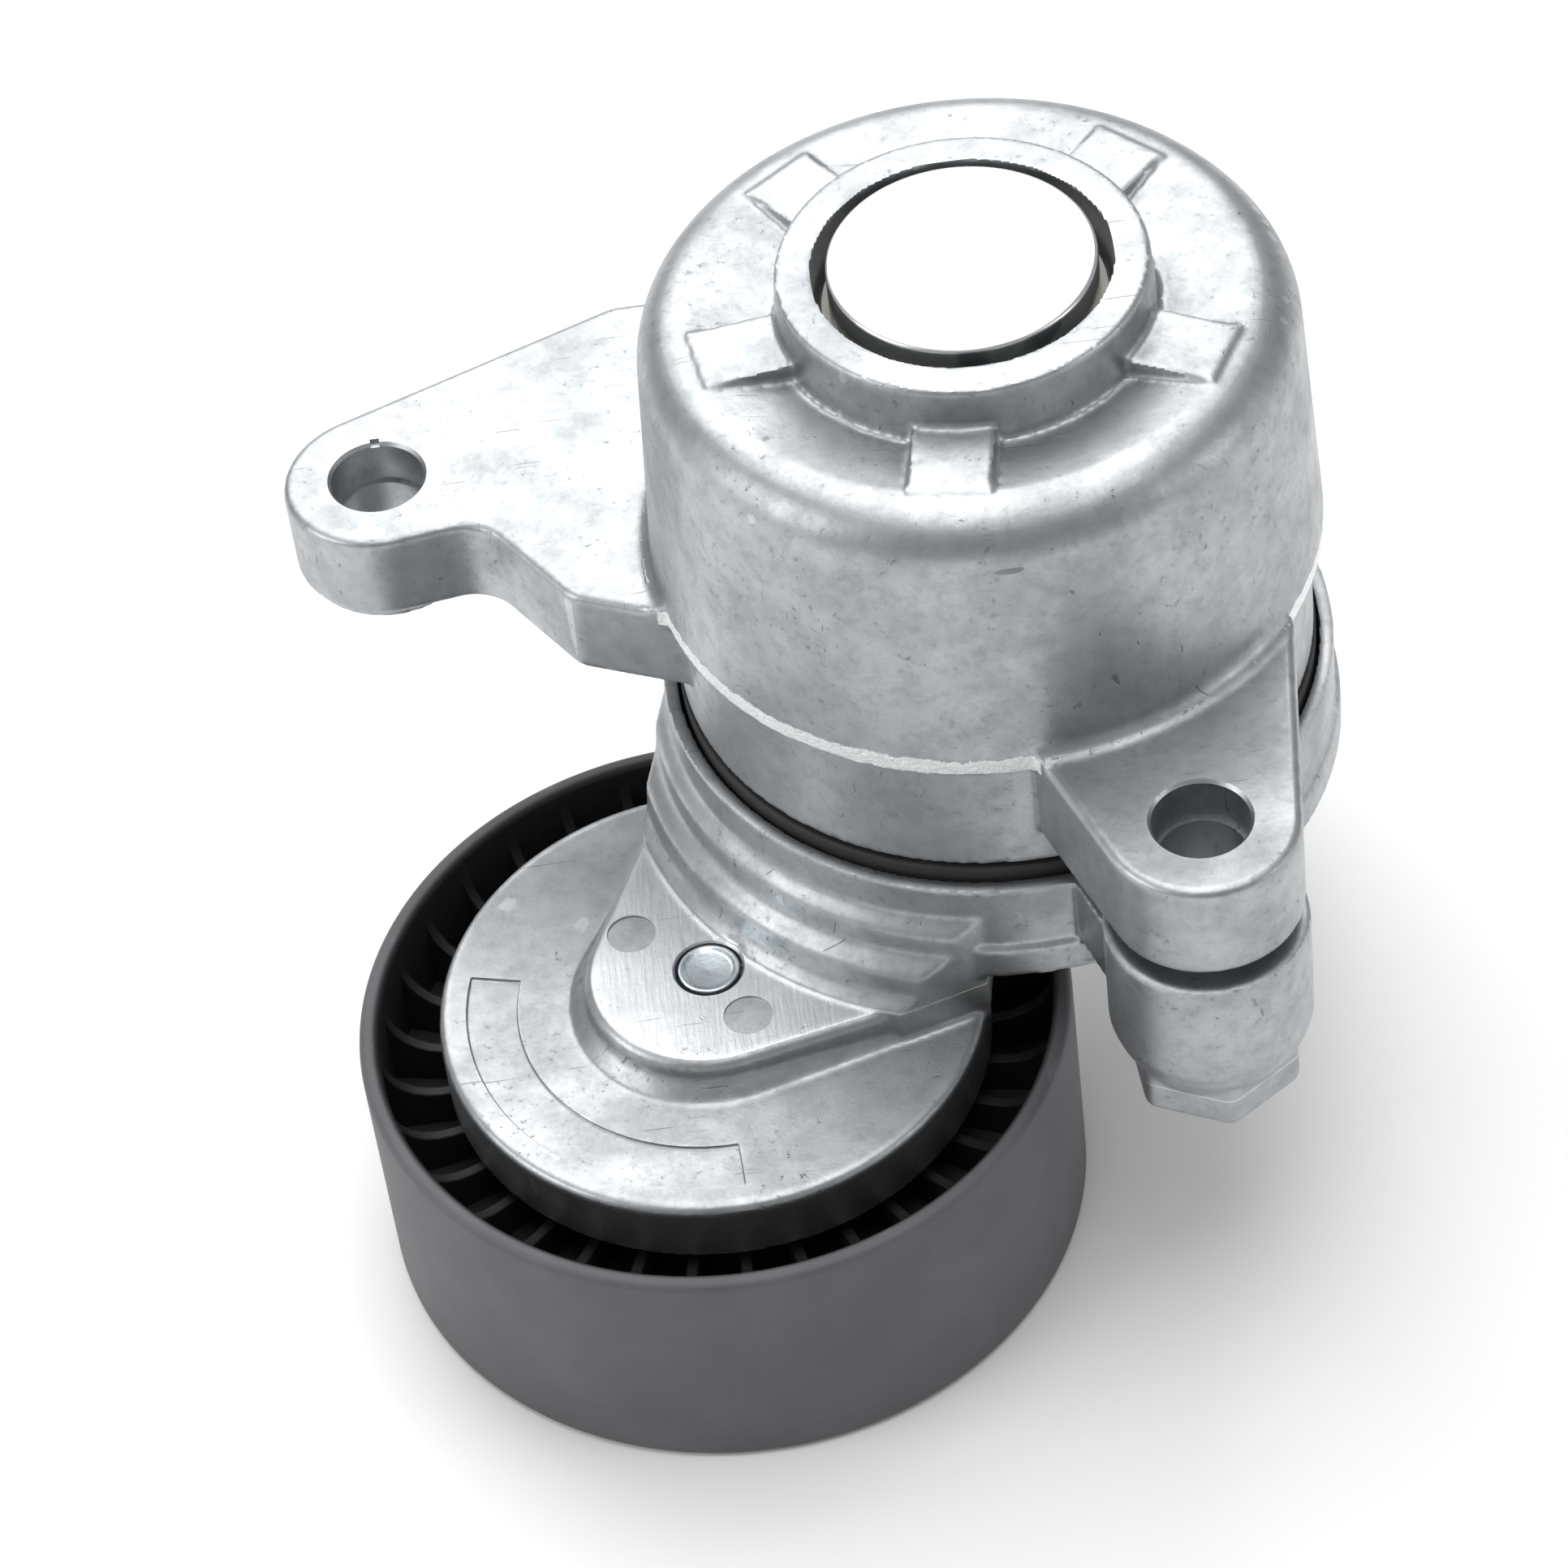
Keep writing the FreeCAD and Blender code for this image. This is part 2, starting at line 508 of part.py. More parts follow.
def neck():
    """The steps, the plateau with its rounded rim and foot, and the root under the arm's floor."""
    def beyond(p):
        return math.hypot(p.x, p.y) > SKIRT_OUTER_R + NECK_BEND[0] + 2 * PAST

    bottom = DISC_TOP_Z - PAST
    boss = neck_plate(bottom, PLATEAU_Z, BOSS_R)
    boss = boss.makeFillet(BOSS_EDGE_ROUND, edges_at(boss, PLATEAU_Z, beyond))
    foot_top = DISC_TOP_Z + BOSS_FOOT_ROUND
    foot = neck_plate(bottom, foot_top, BOSS_R + BOSS_FOOT_ROUND)
    foot = foot.makeChamfer(BOSS_FOOT_ROUND - SIDE_CLEARANCE, edges_at(foot, foot_top, beyond))
    solid = boss.fuse(foot).cut(disc(NECK_INNER_R, bottom - PAST, PLATEAU_Z + PAST))
    root = neck_plate(bottom, SKIRT_BOTTOM_Z + PAST, BOSS_R)
    root = root.common(ring(SKIRT_INNER_R + PAST, NECK_INNER_R, bottom, SKIRT_BOTTOM_Z + PAST))
    return solid.fuse(root).fuse(arm_steps())


def cover_envelope():
    """The cover's outside as one solid disc with a rounded upper edge."""
    solid = disc(DISC_R, DISC_SKIRT_END_Z, DISC_TOP_Z, PULLEY_AXIS)
    return solid.makeFillet(DISC_EDGE_ROUND, edges_at(solid, DISC_TOP_Z, lambda p: True))


def tension_arm():
    """The moving casting: skirted cup, hub, stepped neck and the web to the wrench boss."""
    arm = ring(SKIRT_OUTER_R, SKIRT_INNER_R, SKIRT_BOTTOM_Z, SKIRT_TOP_Z)
    arm = arm.fuse(disc(SKIRT_OUTER_R, SKIRT_BOTTOM_Z, FLOOR_TOP_Z))
    arm = arm.fuse(ring(SKIRT_OUTER_R + LIP_PROUD, SKIRT_INNER_R, SKIRT_BOTTOM_Z, SKIRT_BOTTOM_Z + LIP_HEIGHT))
    arm = arm.fuse(disc(ARM_HUB_R, SKIRT_BOTTOM_Z, ARM_HUB_TOP_Z)).fuse(neck()).cut(cover_envelope())
    x, y = SHORT_HOLE
    web = block(SKIRT_INNER_R + SKIRT_WALL / 2, math.hypot(x, y), WRENCH_COLLAR_R - WRENCH_WEB_INSET,
                SKIRT_BOTTOM_Z + LIP_HEIGHT, SKIRT_TOP_Z, math.degrees(math.atan2(y, x)))
    arm = arm.fuse(web).cut(disc(WRENCH_COLLAR_R, SKIRT_BOTTOM_Z - PAST, SKIRT_TOP_Z + PAST, SHORT_HOLE))
    arm = arm.cut(ring(SKIRT_INNER_R, ARM_HUB_R, FLOOR_TOP_Z, SKIRT_TOP_Z + PAST))
    arm = arm.fuse(spring_lug(0, 1, COIL_R + WIRE_HALF, FLOOR_TOP_Z - PAST, FLOOR_TOP_Z + LUG_HEIGHT))
    arm = arm.cut(disc(PIN_R, FLOOR_TOP_Z, ARM_HUB_TOP_Z + PAST))
    arm = arm.cut(disc(PIN_TAIL_R, SKIRT_BOTTOM_Z - PAST, FLOOR_TOP_Z + PAST))
    arm = arm.cut(disc(BOLT_R, DISC_TOP_Z - PAST, PLATEAU_Z + PAST, PULLEY_AXIS))
    arm = arm.cut(Part.makeCone(BOLT_R, BOLT_R + BOLT_MOUTH, BOLT_MOUTH,
                                vec(*PULLEY_AXIS, PLATEAU_Z - BOLT_MOUTH), Z_AXIS))
    for distance, angle in EJECTOR_PLACES:
        place = polar(distance, angle, PULLEY_AXIS)
        arm = arm.cut(disc(EJECTOR_R, PLATEAU_Z - EJECTOR_DEPTH, PLATEAU_Z + PAST, (place.x, place.y)))
    return arm.removeSplitter()


def wrench_boss():
    """The collar and hexagon that a wrench turns to slacken the belt."""
    collar = revolve([
        (0, WRENCH_COLLAR_TOP_Z), (WRENCH_COLLAR_R, WRENCH_COLLAR_TOP_Z),
        (WRENCH_COLLAR_R, WRENCH_COLLAR_BOTTOM_Z),
        (WRENCH_COLLAR_R - WRENCH_CONE / 10, WRENCH_COLLAR_BOTTOM_Z - WRENCH_CONE / 3),
        (WRENCH_FLATS / 2, WRENCH_CONE_END_Z), (0, WRENCH_CONE_END_Z),
    ], SHORT_HOLE)
    nut = hexagon(WRENCH_FLATS, WRENCH_TIP_Z, WRENCH_COLLAR_BOTTOM_Z - WRENCH_CONE / 2, SHORT_HOLE,
                  90 + WRENCH_TURN, WRENCH_CORNER_ROUND)
    return collar.fuse(nut.makeFillet(WRENCH_TIP_ROUND, edges_at(nut, WRENCH_TIP_Z, lambda p: True)))


def pocket():
    """The shallow curved pocket in the disc's upper face."""
    outer, inner = DISC_R - POCKET_MARGIN, DISC_R - POCKET_MARGIN - POCKET_WIDTH
    middle, end = POCKET_START + POCKET_SWEEP / 2, POCKET_START + POCKET_SWEEP
    edges = [
        Part.Arc(*[polar(outer, a, PULLEY_AXIS) for a in (POCKET_START, middle, end)]).toShape(),
        Part.LineSegment(polar(outer, end, PULLEY_AXIS), polar(inner, end, PULLEY_AXIS)).toShape(),
        Part.Arc(*[polar(inner, a, PULLEY_AXIS) for a in (end, middle, POCKET_START)]).toShape(),
        Part.LineSegment(polar(inner, POCKET_START, PULLEY_AXIS),
                         polar(outer, POCKET_START, PULLEY_AXIS)).toShape(),
    ]
    wire = Part.Wire(Part.__sortEdges__(edges))
    wire.translate(vec(0, 0, DISC_TOP_Z - POCKET_DEPTH))
    solid = Part.Face(wire).extrude(vec(0, 0, POCKET_DEPTH + PAST))
    return solid.makeFillet(POCKET_CORNER, [e for e in solid.Edges if e.BoundBox.ZLength > POCKET_DEPTH])


def pulley_cover():
    """The arm's round cover over the pulley's open side, with its own short skirt."""
    cover = cover_envelope()
    cover = cover.cut(disc(DISC_R - DISC_SKIRT_WALL, DISC_SKIRT_END_Z - PAST, DISC_UNDER_Z, PULLEY_AXIS))
    return cover.cut(pocket()).cut(disc(BOLT_R, DISC_UNDER_Z - PAST, DISC_TOP_Z + PAST, PULLEY_AXIS))


def bearing_spigot():
    """The shoulder under the cover and the spigot that carries the bearing."""
    spigot = disc(BEARING_BORE_R, SPIGOT_END_Z, BEARING_TOP_Z + PAST, PULLEY_AXIS)
    spigot = spigot.makeChamfer(SPIGOT_CHAMFER, edges_at(spigot, SPIGOT_END_Z, lambda p: True))
    spigot = spigot.fuse(disc(SEAT_SHOULDER_R, BEARING_TOP_Z, DISC_UNDER_Z, PULLEY_AXIS))
    return spigot.cut(disc(BOLT_R, SPIGOT_END_Z - PAST, DISC_UNDER_Z + PAST, PULLEY_AXIS)).removeSplitter()


# ---- torsion spring and damping ------------------------------------------------------------

def torsion_spring():
    """The left-hand coil of square wire that turns the arm against the belt."""
    low = FLOOR_TOP_Z + PAD_THICKNESS + WIRE_HALF + COIL_PAD_GAP
    high = ROOF_UNDER_Z - PAD_THICKNESS - WIRE_HALF - COIL_PAD_GAP
    pitch = (high - low) / COIL_TURNS
    path = Part.makeHelix(pitch, high - low, COIL_R)
    inner, outer = COIL_R - WIRE_HALF, COIL_R + WIRE_HALF
    corners = [vec(inner, 0, -WIRE_HALF), vec(outer, 0, -WIRE_HALF), vec(outer, 0, WIRE_HALF),
               vec(inner, 0, WIRE_HALF)]
    section = Part.makePolygon(corners + corners[:1])
    coil = Part.Wire(path).makePipeShell([section], True, True)
    coil = coil.mirror(ORIGIN, vec(0, 1, 0))
    coil.translate(vec(0, 0, low))
    return coil


def spring_pad(z_low, coil_angle, side):
    """A flat plastic ring that keeps the spring's end off the casting, open where the lug stands."""
    half = WIRE_HALF + PAD_MARGIN
    pad = ring(COIL_R + half, COIL_R - half, z_low, z_low + PAD_THICKNESS)
    opening = block(COIL_R - 2 * half, COIL_R + 2 * half, LUG_WIDTH / 2 + COIL_END_GAP,
                    z_low - PAST, z_low + PAD_THICKNESS + PAST, -coil_angle + side * LUG_LEAD)
    return pad.cut(opening)


def damping_ring():
    """The friction sleeve: a flange on the arm's floor and a sleeve inside the case's wall."""
    sleeve_r = CASE_CAVITY_R - SIDE_CLEARANCE
    sleeve_top = DAMPER_TOP_Z + DAMPER_SLEEVE
    return revolve([
        (sleeve_r - DAMPER_WALL, FLOOR_TOP_Z), (DAMPER_FLANGE_R, FLOOR_TOP_Z),
        (DAMPER_FLANGE_R, DAMPER_TOP_Z), (sleeve_r, DAMPER_TOP_Z), (sleeve_r, sleeve_top),
        (sleeve_r - DAMPER_WALL, sleeve_top),
    ])


# ---- bearing -------------------------------------------------------------------------------

def rims_of(solid, half_width):
    """The edges of a turned pulley part that lie in its two end faces."""
    return [e for e in solid.Edges if abs(abs(e.BoundBox.Center.z - PULLEY_MID_Z) - half_width) < 0.01]


def bearing_race(outer, inner):
    """One bearing ring with its ball groove."""
    race = ring(outer, inner, BEARING_END_Z, BEARING_TOP_Z, PULLEY_AXIS)
    groove = Part.makeTorus(PITCH_R, BALL_RADIUS + GROOVE_CLEARANCE, vec(*PULLEY_AXIS, PULLEY_MID_Z), Z_AXIS)
    race = race.cut(groove)
    return race.makeChamfer(BEARING_EDGE, rims_of(race, BEARING_WIDTH / 2))


def bearing_balls():
    """All the balls, as separate solids."""
    places = [polar(PITCH_R, 360 * i / BALL_COUNT, PULLEY_AXIS, PULLEY_MID_Z) for i in range(BALL_COUNT)]
    return Part.makeCompound([Part.makeSphere(BALL_RADIUS, place) for place in places])


def bearing_cage():
    """A thin band round the pitch circle with a clear round pocket for each ball."""
    half_height = BALL_RADIUS + CAGE_MARGIN
    outer, inner = PITCH_R + CAGE_THICKNESS / 2, PITCH_R - CAGE_THICKNESS / 2
    band = ring(outer, inner, PULLEY_MID_Z - half_height, PULLEY_MID_Z + half_height, PULLEY_AXIS)
    for i in range(BALL_COUNT):
        angle = 360 * i / BALL_COUNT
        start = polar(inner - PAST, angle, PULLEY_AXIS, PULLEY_MID_Z)
        band = band.cut(Part.makeCylinder(BALL_RADIUS + POCKET_CLEARANCE, CAGE_THICKNESS + 2 * PAST, start,
                                          polar(1, angle)))
    return band


def bearing_seal(z_low):
    """A thin seal held by the outer ring, just clear of the inner one."""
    return ring(OUTER_RING_INNER_R, INNER_RING_OUTER_R + SIDE_CLEARANCE, z_low, z_low + SEAL_THICKNESS,
                PULLEY_AXIS)


# ---- pulley --------------------------------------------------------------------------------

def pulley_rim():
    """The smooth tread that the belt runs on, rounded at both edges."""
    rim = ring(PULLEY_RADIUS, RIM_INNER_R, PULLEY_BOTTOM_Z, PULLEY_TOP_Z, PULLEY_AXIS)
    return rim.makeFillet(RIM_EDGE_ROUND, rims_of(rim, PULLEY_WIDTH / 2))


def pulley_web():
    """The web between rim and hub with a row of ribs on each side, dipping towards the hub."""
    rim_edge = PULLEY_WIDTH / 2 - RIB_RIM_DEPTH
    hub_edge = PULLEY_WIDTH / 2 - RIB_HUB_DEPTH
    drop = rim_edge - hub_edge
    sag = math.sqrt(0.5)
    web = ring(RIM_INNER_R, HUB_R, PULLEY_MID_Z - WEB_THICKNESS / 2, PULLEY_MID_Z + WEB_THICKNESS / 2)
    ribs = []
    for sign in (1, -1):
        rim_z, hub_z = sign * rim_edge, sign * hub_edge
        middle = vec(RIM_INNER_R - (1 - sag) * drop, 0, hub_z + sign * (1 - sag) * drop)
        dip = Part.Arc(vec(RIM_INNER_R, 0, rim_z), middle, vec(RIM_INNER_R - drop, 0, hub_z)).toShape()
        chain = [vec(RIM_INNER_R - drop, 0, hub_z), vec(HUB_R - PAST, 0, hub_z), vec(HUB_R - PAST, 0, 0),
                 vec(RIM_INNER_R + PAST, 0, 0), vec(RIM_INNER_R + PAST, 0, rim_z), vec(RIM_INNER_R, 0, rim_z)]
        lines = [Part.LineSegment(a, b).toShape() for a, b in zip(chain, chain[1:])]
        rib = Part.Face(Part.Wire([dip] + lines)).extrude(vec(0, RIB_THICKNESS, 0))
        rib.translate(vec(0, -RIB_THICKNESS / 2, PULLEY_MID_Z))
        for i in range(RIB_COUNT):
            copy = rib.copy()
            copy.rotate(ORIGIN, Z_AXIS, 360 * i / RIB_COUNT)
            ribs.append(copy)
    between = ring(RIM_INNER_R, HUB_R, PULLEY_BOTTOM_Z, PULLEY_TOP_Z)
    body = web.fuse(ribs).common(between).removeSplitter()
    body.translate(vec(*PULLEY_AXIS))
    return body


# ---- pulley bolt and front shield ----------------------------------------------------------

def front_shield():
    """A dished steel washer under the bolt's head that covers the bearing."""
    low = BEARING_END_Z - SHIELD_STEP
    slope = SHIELD_THICKNESS
    return revolve([
        (BOLT_R, BEARING_END_Z), (SEAT_SHOULDER_R - slope, BEARING_END_Z), (SEAT_SHOULDER_R + slope, low),
        (SHIELD_R, low), (SHIELD_R, low - SHIELD_THICKNESS),
        (SEAT_SHOULDER_R + slope / 2, low - SHIELD_THICKNESS), (SEAT_SHOULDER_R - 1.5 * slope, BOLT_SEAT_Z),
        (BOLT_R, BOLT_SEAT_Z),
    ], PULLEY_AXIS)


def pulley_bolt():
    """The flanged bolt that clamps the bearing on the arm's spigot; its tip ends at the plateau."""
    flange_end = BOLT_SEAT_Z - BOLT_FLANGE_THICKNESS
    shank = revolve([
        (0, PLATEAU_Z), (BOLT_TIP_R, PLATEAU_Z), (BOLT_R, PLATEAU_Z - (BOLT_R - BOLT_TIP_R)),
        (BOLT_R, BOLT_SEAT_Z), (BOLT_FLANGE_R, BOLT_SEAT_Z), (BOLT_FLANGE_R, BOLT_SEAT_Z - BOLT_FLANGE_EDGE),
        (BOLT_HEAD_FLATS / 2, flange_end), (0, flange_end),
    ], PULLEY_AXIS)
    head_end = BOLT_SEAT_Z - BOLT_HEAD_HEIGHT
    head = hexagon(BOLT_HEAD_FLATS, head_end, BOLT_SEAT_Z - BOLT_FLANGE_EDGE, PULLEY_AXIS, 0)
    corner_r = BOLT_HEAD_FLATS / math.sqrt(3)
    bevel = corner_r - BOLT_HEAD_FLATS / 2
    crown = revolve([
        (0, head_end), (BOLT_HEAD_FLATS / 2, head_end), (corner_r + PAST, head_end + bevel + PAST),
        (corner_r + PAST, BOLT_SEAT_Z), (0, BOLT_SEAT_Z),
    ], PULLEY_AXIS)
    return shank.fuse(head.common(crown))


NODES = {
    "case_cup": case_cup,
    "bush_tube": lambda: ring(TUBE_OUTER_R, BUSH_OUTER_R, TUBE_BOTTOM_Z, ROOF_UNDER_Z),
    "long_ear": long_ear,
    "short_ear": short_ear,
    "upper_bush": lambda: bush(RECESS_FLOOR_Z - BUSH_INSET - BUSH_LENGTH),
    "lower_bush": lambda: bush(TUBE_BOTTOM_Z + BUSH_INSET),
    "head_thrust_washer": lambda: ring(PIN_RING_INNER_R - WASHER_GAP, PIN_R + SIDE_CLEARANCE, RECESS_FLOOR_Z,
                                       RECESS_FLOOR_Z + WASHER_THICKNESS),
    "upper_spring_pad": lambda: spring_pad(ROOF_UNDER_Z - PAD_THICKNESS, 360 * COIL_TURNS, -1),
    "torsion_spring": torsion_spring,
    "pivot_pin": pivot_pin,
    "tension_arm": tension_arm,
    "wrench_boss": wrench_boss,
    "pulley_cover": pulley_cover,
    "bearing_spigot": bearing_spigot,
    "lower_thrust_washer": lambda: ring(TUBE_OUTER_R, PIN_R + SIDE_CLEARANCE, ARM_HUB_TOP_Z, LOWER_WASHER_TOP_Z),
    "rivet_washer": lambda: ring(RIVET_R + RIVET_WASHER_OVERHANG, PIN_TAIL_R, RIVET_WASHER_BOTTOM_Z,
                                 SKIRT_BOTTOM_Z),
    "lower_spring_pad": lambda: spring_pad(FLOOR_TOP_Z, 0, 1),
    "damping_ring": damping_ring,
    "bearing_inner_ring": lambda: bearing_race(INNER_RING_OUTER_R, BEARING_BORE_R),
    "pulley_bolt": pulley_bolt,
    "front_dust_shield": front_shield,
    "pulley_rim": pulley_rim,
    "pulley_web": pulley_web,
    "pulley_hub": lambda: ring(HUB_R, BEARING_OUTER_R, BEARING_END_Z - HUB_PROUD, BEARING_TOP_Z + HUB_PROUD,
                               PULLEY_AXIS),
    "bearing_outer_ring": lambda: bearing_race(BEARING_OUTER_R, OUTER_RING_INNER_R),
    "bearing_seal_upper": lambda: bearing_seal(BEARING_TOP_Z - SEAL_INSET - SEAL_THICKNESS),
    "bearing_seal_lower": lambda: bearing_seal(BEARING_END_Z + SEAL_INSET),
    "bearing_cage": bearing_cage,
    "bearing_balls": bearing_balls,
}

os.makedirs("parts", exist_ok=True)
for name, make in NODES.items():
    shape = make()
    print(f"{name:22s} valid={shape.isValid()} solids={len(shape.Solids)} volume={shape.Volume:9.1f}")
    shape.exportStep(f"parts/{name}.step")
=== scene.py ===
"""Looks of an automatic belt tensioner: cast case and arm, steel pivot pin, dark plastic idler pulley."""

import logging
import math
from dataclasses import dataclass
from enum import Enum
from typing import Sequence

import bpy
from mathutils import Matrix, Vector


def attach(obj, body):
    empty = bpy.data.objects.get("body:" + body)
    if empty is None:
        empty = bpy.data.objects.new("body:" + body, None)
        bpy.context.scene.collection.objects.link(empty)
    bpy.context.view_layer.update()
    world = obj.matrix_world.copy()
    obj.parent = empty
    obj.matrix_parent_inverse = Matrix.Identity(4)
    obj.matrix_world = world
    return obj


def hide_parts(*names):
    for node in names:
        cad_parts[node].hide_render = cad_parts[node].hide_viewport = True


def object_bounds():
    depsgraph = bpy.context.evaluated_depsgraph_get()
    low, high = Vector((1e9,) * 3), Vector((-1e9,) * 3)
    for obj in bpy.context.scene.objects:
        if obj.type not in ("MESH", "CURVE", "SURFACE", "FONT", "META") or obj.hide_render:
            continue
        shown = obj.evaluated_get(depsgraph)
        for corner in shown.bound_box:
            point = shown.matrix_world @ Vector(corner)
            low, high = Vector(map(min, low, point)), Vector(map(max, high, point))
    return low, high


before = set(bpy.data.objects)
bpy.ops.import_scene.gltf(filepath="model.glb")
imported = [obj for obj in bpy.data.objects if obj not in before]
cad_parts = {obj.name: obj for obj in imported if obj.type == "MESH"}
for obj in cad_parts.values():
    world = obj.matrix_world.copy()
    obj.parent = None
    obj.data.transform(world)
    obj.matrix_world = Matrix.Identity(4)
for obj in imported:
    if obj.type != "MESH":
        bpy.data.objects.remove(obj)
CAD_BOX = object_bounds()

LOG = logging.getLogger("tensioner")
MM = 0.001
TURN = 2 * math.pi
SEGMENTS = 192
POLE_R = 0.004  # mm, radius that a pole has until it is welded shut
PAST = 1.0  # mm, how far a cutter or filler goes past a face
CRISP = 35.0  # degrees, edges sharper than this stay crisp
Profile = Sequence[tuple[float, float]]


class Body(Enum):
    """The moving groups that a new piece rides on."""

    CASE = "case"
    ARM = "arm"
    PULLEY = "pulley"


# ---- small modelling helpers -------------------------------------------------------------


def deselect() -> None:
    """Leave edit mode and clear the selection."""
    if bpy.context.object and bpy.context.object.mode != "OBJECT":
        bpy.ops.object.mode_set(mode="OBJECT")
    bpy.ops.object.select_all(action="DESELECT")


def select_only(piece: bpy.types.Object) -> None:
    """Make one object the only selected and active one.

    Args:
        piece: The object to work on.
    """
    deselect()
    piece.select_set(True)
    bpy.context.view_layer.objects.active = piece


def open_mesh(piece: bpy.types.Object) -> None:
    """Enter edit mode on a piece with everything selected.

    Args:
        piece: The object to edit.
    """
    select_only(piece)
    bpy.ops.object.mode_set(mode="EDIT")
    bpy.ops.mesh.select_all(action="SELECT")


def close_mesh(smooth_degrees: float = CRISP) -> None:
    """Weld, turn the faces outwards, leave edit mode and shade the piece.

    Args:
        smooth_degrees: Edges sharper than this stay crisp.
    """
    bpy.ops.mesh.select_all(action="SELECT")
    bpy.ops.mesh.remove_doubles(threshold=0.002 * MM)
    bpy.ops.mesh.normals_make_consistent(inside=False)
    bpy.ops.object.mode_set(mode="OBJECT")
    bpy.ops.object.shade_smooth_by_angle(angle=math.radians(smooth_degrees))


def settle(piece: bpy.types.Object) -> None:
    """Put the object's place, turn and scale into its mesh.

    Args:
        piece: The object to settle.
    """
    select_only(piece)
    bpy.ops.object.transform_apply(location=True, rotation=True, scale=True)


def apply_modifier(piece: bpy.types.Object, kind: str, **settings: object) -> None:
    """Add one modifier and apply it.

    Args:
        piece: The object that gets it.
        kind: Blender's name for the modifier.
        **settings: Values set on the modifier.
    """
    select_only(piece)
    modifier = piece.modifiers.new(kind.lower(), kind)
    for key, value in settings.items():
        setattr(modifier, key, value)
    bpy.ops.object.modifier_apply(modifier=modifier.name)


def join(pieces: Sequence[bpy.types.Object], name: str) -> bpy.types.Object:
    """Join several objects into the first and name the result.

    Args:
        pieces: Objects to join.
        name: Name of the joined piece.

    Returns:
        The joined object.
    """
    deselect()
    for piece in pieces:
        piece.select_set(True)
    bpy.context.view_layer.objects.active = pieces[0]
    if len(pieces) > 1:
        bpy.ops.object.join()
    pieces[0].name = name
    return pieces[0]


def rounded(corners: Sequence[tuple[float, float, float]], steps: int = 4) -> list[tuple[float, float]]:
    """Turn (radius, height, rounding) corners into a closed outline with small arcs, in mm.

    Args:
        corners: Corners in order, each with the radius of its own rounding.
        steps: Points per arc less one.

    Returns:
        The outline's points.
    """
    outline = []
    for i, (r, z, size) in enumerate(corners):
        if size <= 0:
            outline.append((r, z))
            continue
        here = Vector((r, z))
        before = (Vector(corners[i - 1][:2]) - here).normalized()
        after = (Vector(corners[(i + 1) % len(corners)][:2]) - here).normalized()
        half = before.angle(after) / 2
        reach = size / math.tan(half)
        centre = here + (before + after).normalized() * (size / math.sin(half))
        start, end = here + before * reach - centre, here + after * reach - centre
        for step in range(steps + 1):
            point = centre + start.slerp(end, step / steps).normalized() * size
            outline.append((point.x, point.y))
    return outline


def turned(name: str, outline: Profile, centre: tuple[float, float] = (0.0, 0.0),
           segments: int = SEGMENTS, smooth_degrees: float = CRISP) -> bpy.types.Object:
    """Model a turned part: a circle drawn up through every point of a closed outline.

    Args:
        name: Name of the piece.
        outline: Closed (radius, height) outline in mm, first point not repeated.
        centre: The upright axis in mm.
        segments: Points round the circle.
        smooth_degrees: Edges sharper than this stay crisp.

    Returns:
        The new piece.
    """
    first_r, first_z = max(outline[0][0], POLE_R), outline[0][1]
    axis = (centre[0] * MM, centre[1] * MM)
    deselect()
    bpy.ops.mesh.primitive_circle_add(vertices=segments, radius=first_r * MM,
                                      location=(axis[0], axis[1], first_z * MM))
    piece = bpy.context.object
    piece.name = name
    settle(piece)
    open_mesh(piece)
    r, z = first_r, first_z
    for next_r, next_z in list(outline[1:]) + [(first_r, first_z)]:
        next_r = max(next_r, POLE_R)
        bpy.ops.mesh.extrude_edges_move(TRANSFORM_OT_translate={"value": (0, 0, (next_z - z) * MM)})
        grow = next_r / r
        bpy.ops.transform.resize(value=(grow, grow, 1), center_override=(axis[0], axis[1], next_z * MM))
        r, z = next_r, next_z
    bpy.ops.mesh.select_all(action="SELECT")
    bpy.ops.mesh.remove_doubles(threshold=2 * POLE_R * MM * math.sin(math.pi / segments) + 0.0005 * MM)
    close_mesh(smooth_degrees)
    return piece


def cad_copy(node: str, name: str) -> bpy.types.Object:
    """Copy a CAD node's mesh and weld its loose triangles.

    Args:
        node: The CAD node.
        name: Name of the copy.

    Returns:
        The copy, as a closed mesh.
    """
    piece = bpy.data.objects.new(name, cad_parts[node].data.copy())
    bpy.context.scene.collection.objects.link(piece)
    piece.data.materials.clear()
    select_only(piece)
    if piece.data.has_custom_normals:
        bpy.ops.mesh.customdata_custom_splitnormals_clear()
    open_mesh(piece)
    bpy.ops.mesh.remove_doubles(threshold=0.001 * MM)
    bpy.ops.object.mode_set(mode="OBJECT")
    return piece


def soften_casting(piece: bpy.types.Object, voxel: float, passes: int, budget: int) -> None:
    """Give a casting the soft edges and hollow corners of its die.

    Args:
        piece: The casting.
        voxel: Mesh spacing in mm.
        passes: Smoothing passes.
        budget: Most triangles that stay.
    """
    apply_modifier(piece, "REMESH", mode="VOXEL", voxel_size=voxel * MM)
    apply_modifier(piece, "SMOOTH", factor=0.5, iterations=passes)
    triangles = 2 * len(piece.data.polygons)
    if triangles > budget:
        apply_modifier(piece, "DECIMATE", ratio=budget / triangles)
    select_only(piece)
    bpy.ops.object.shade_smooth_by_angle(angle=math.radians(60))


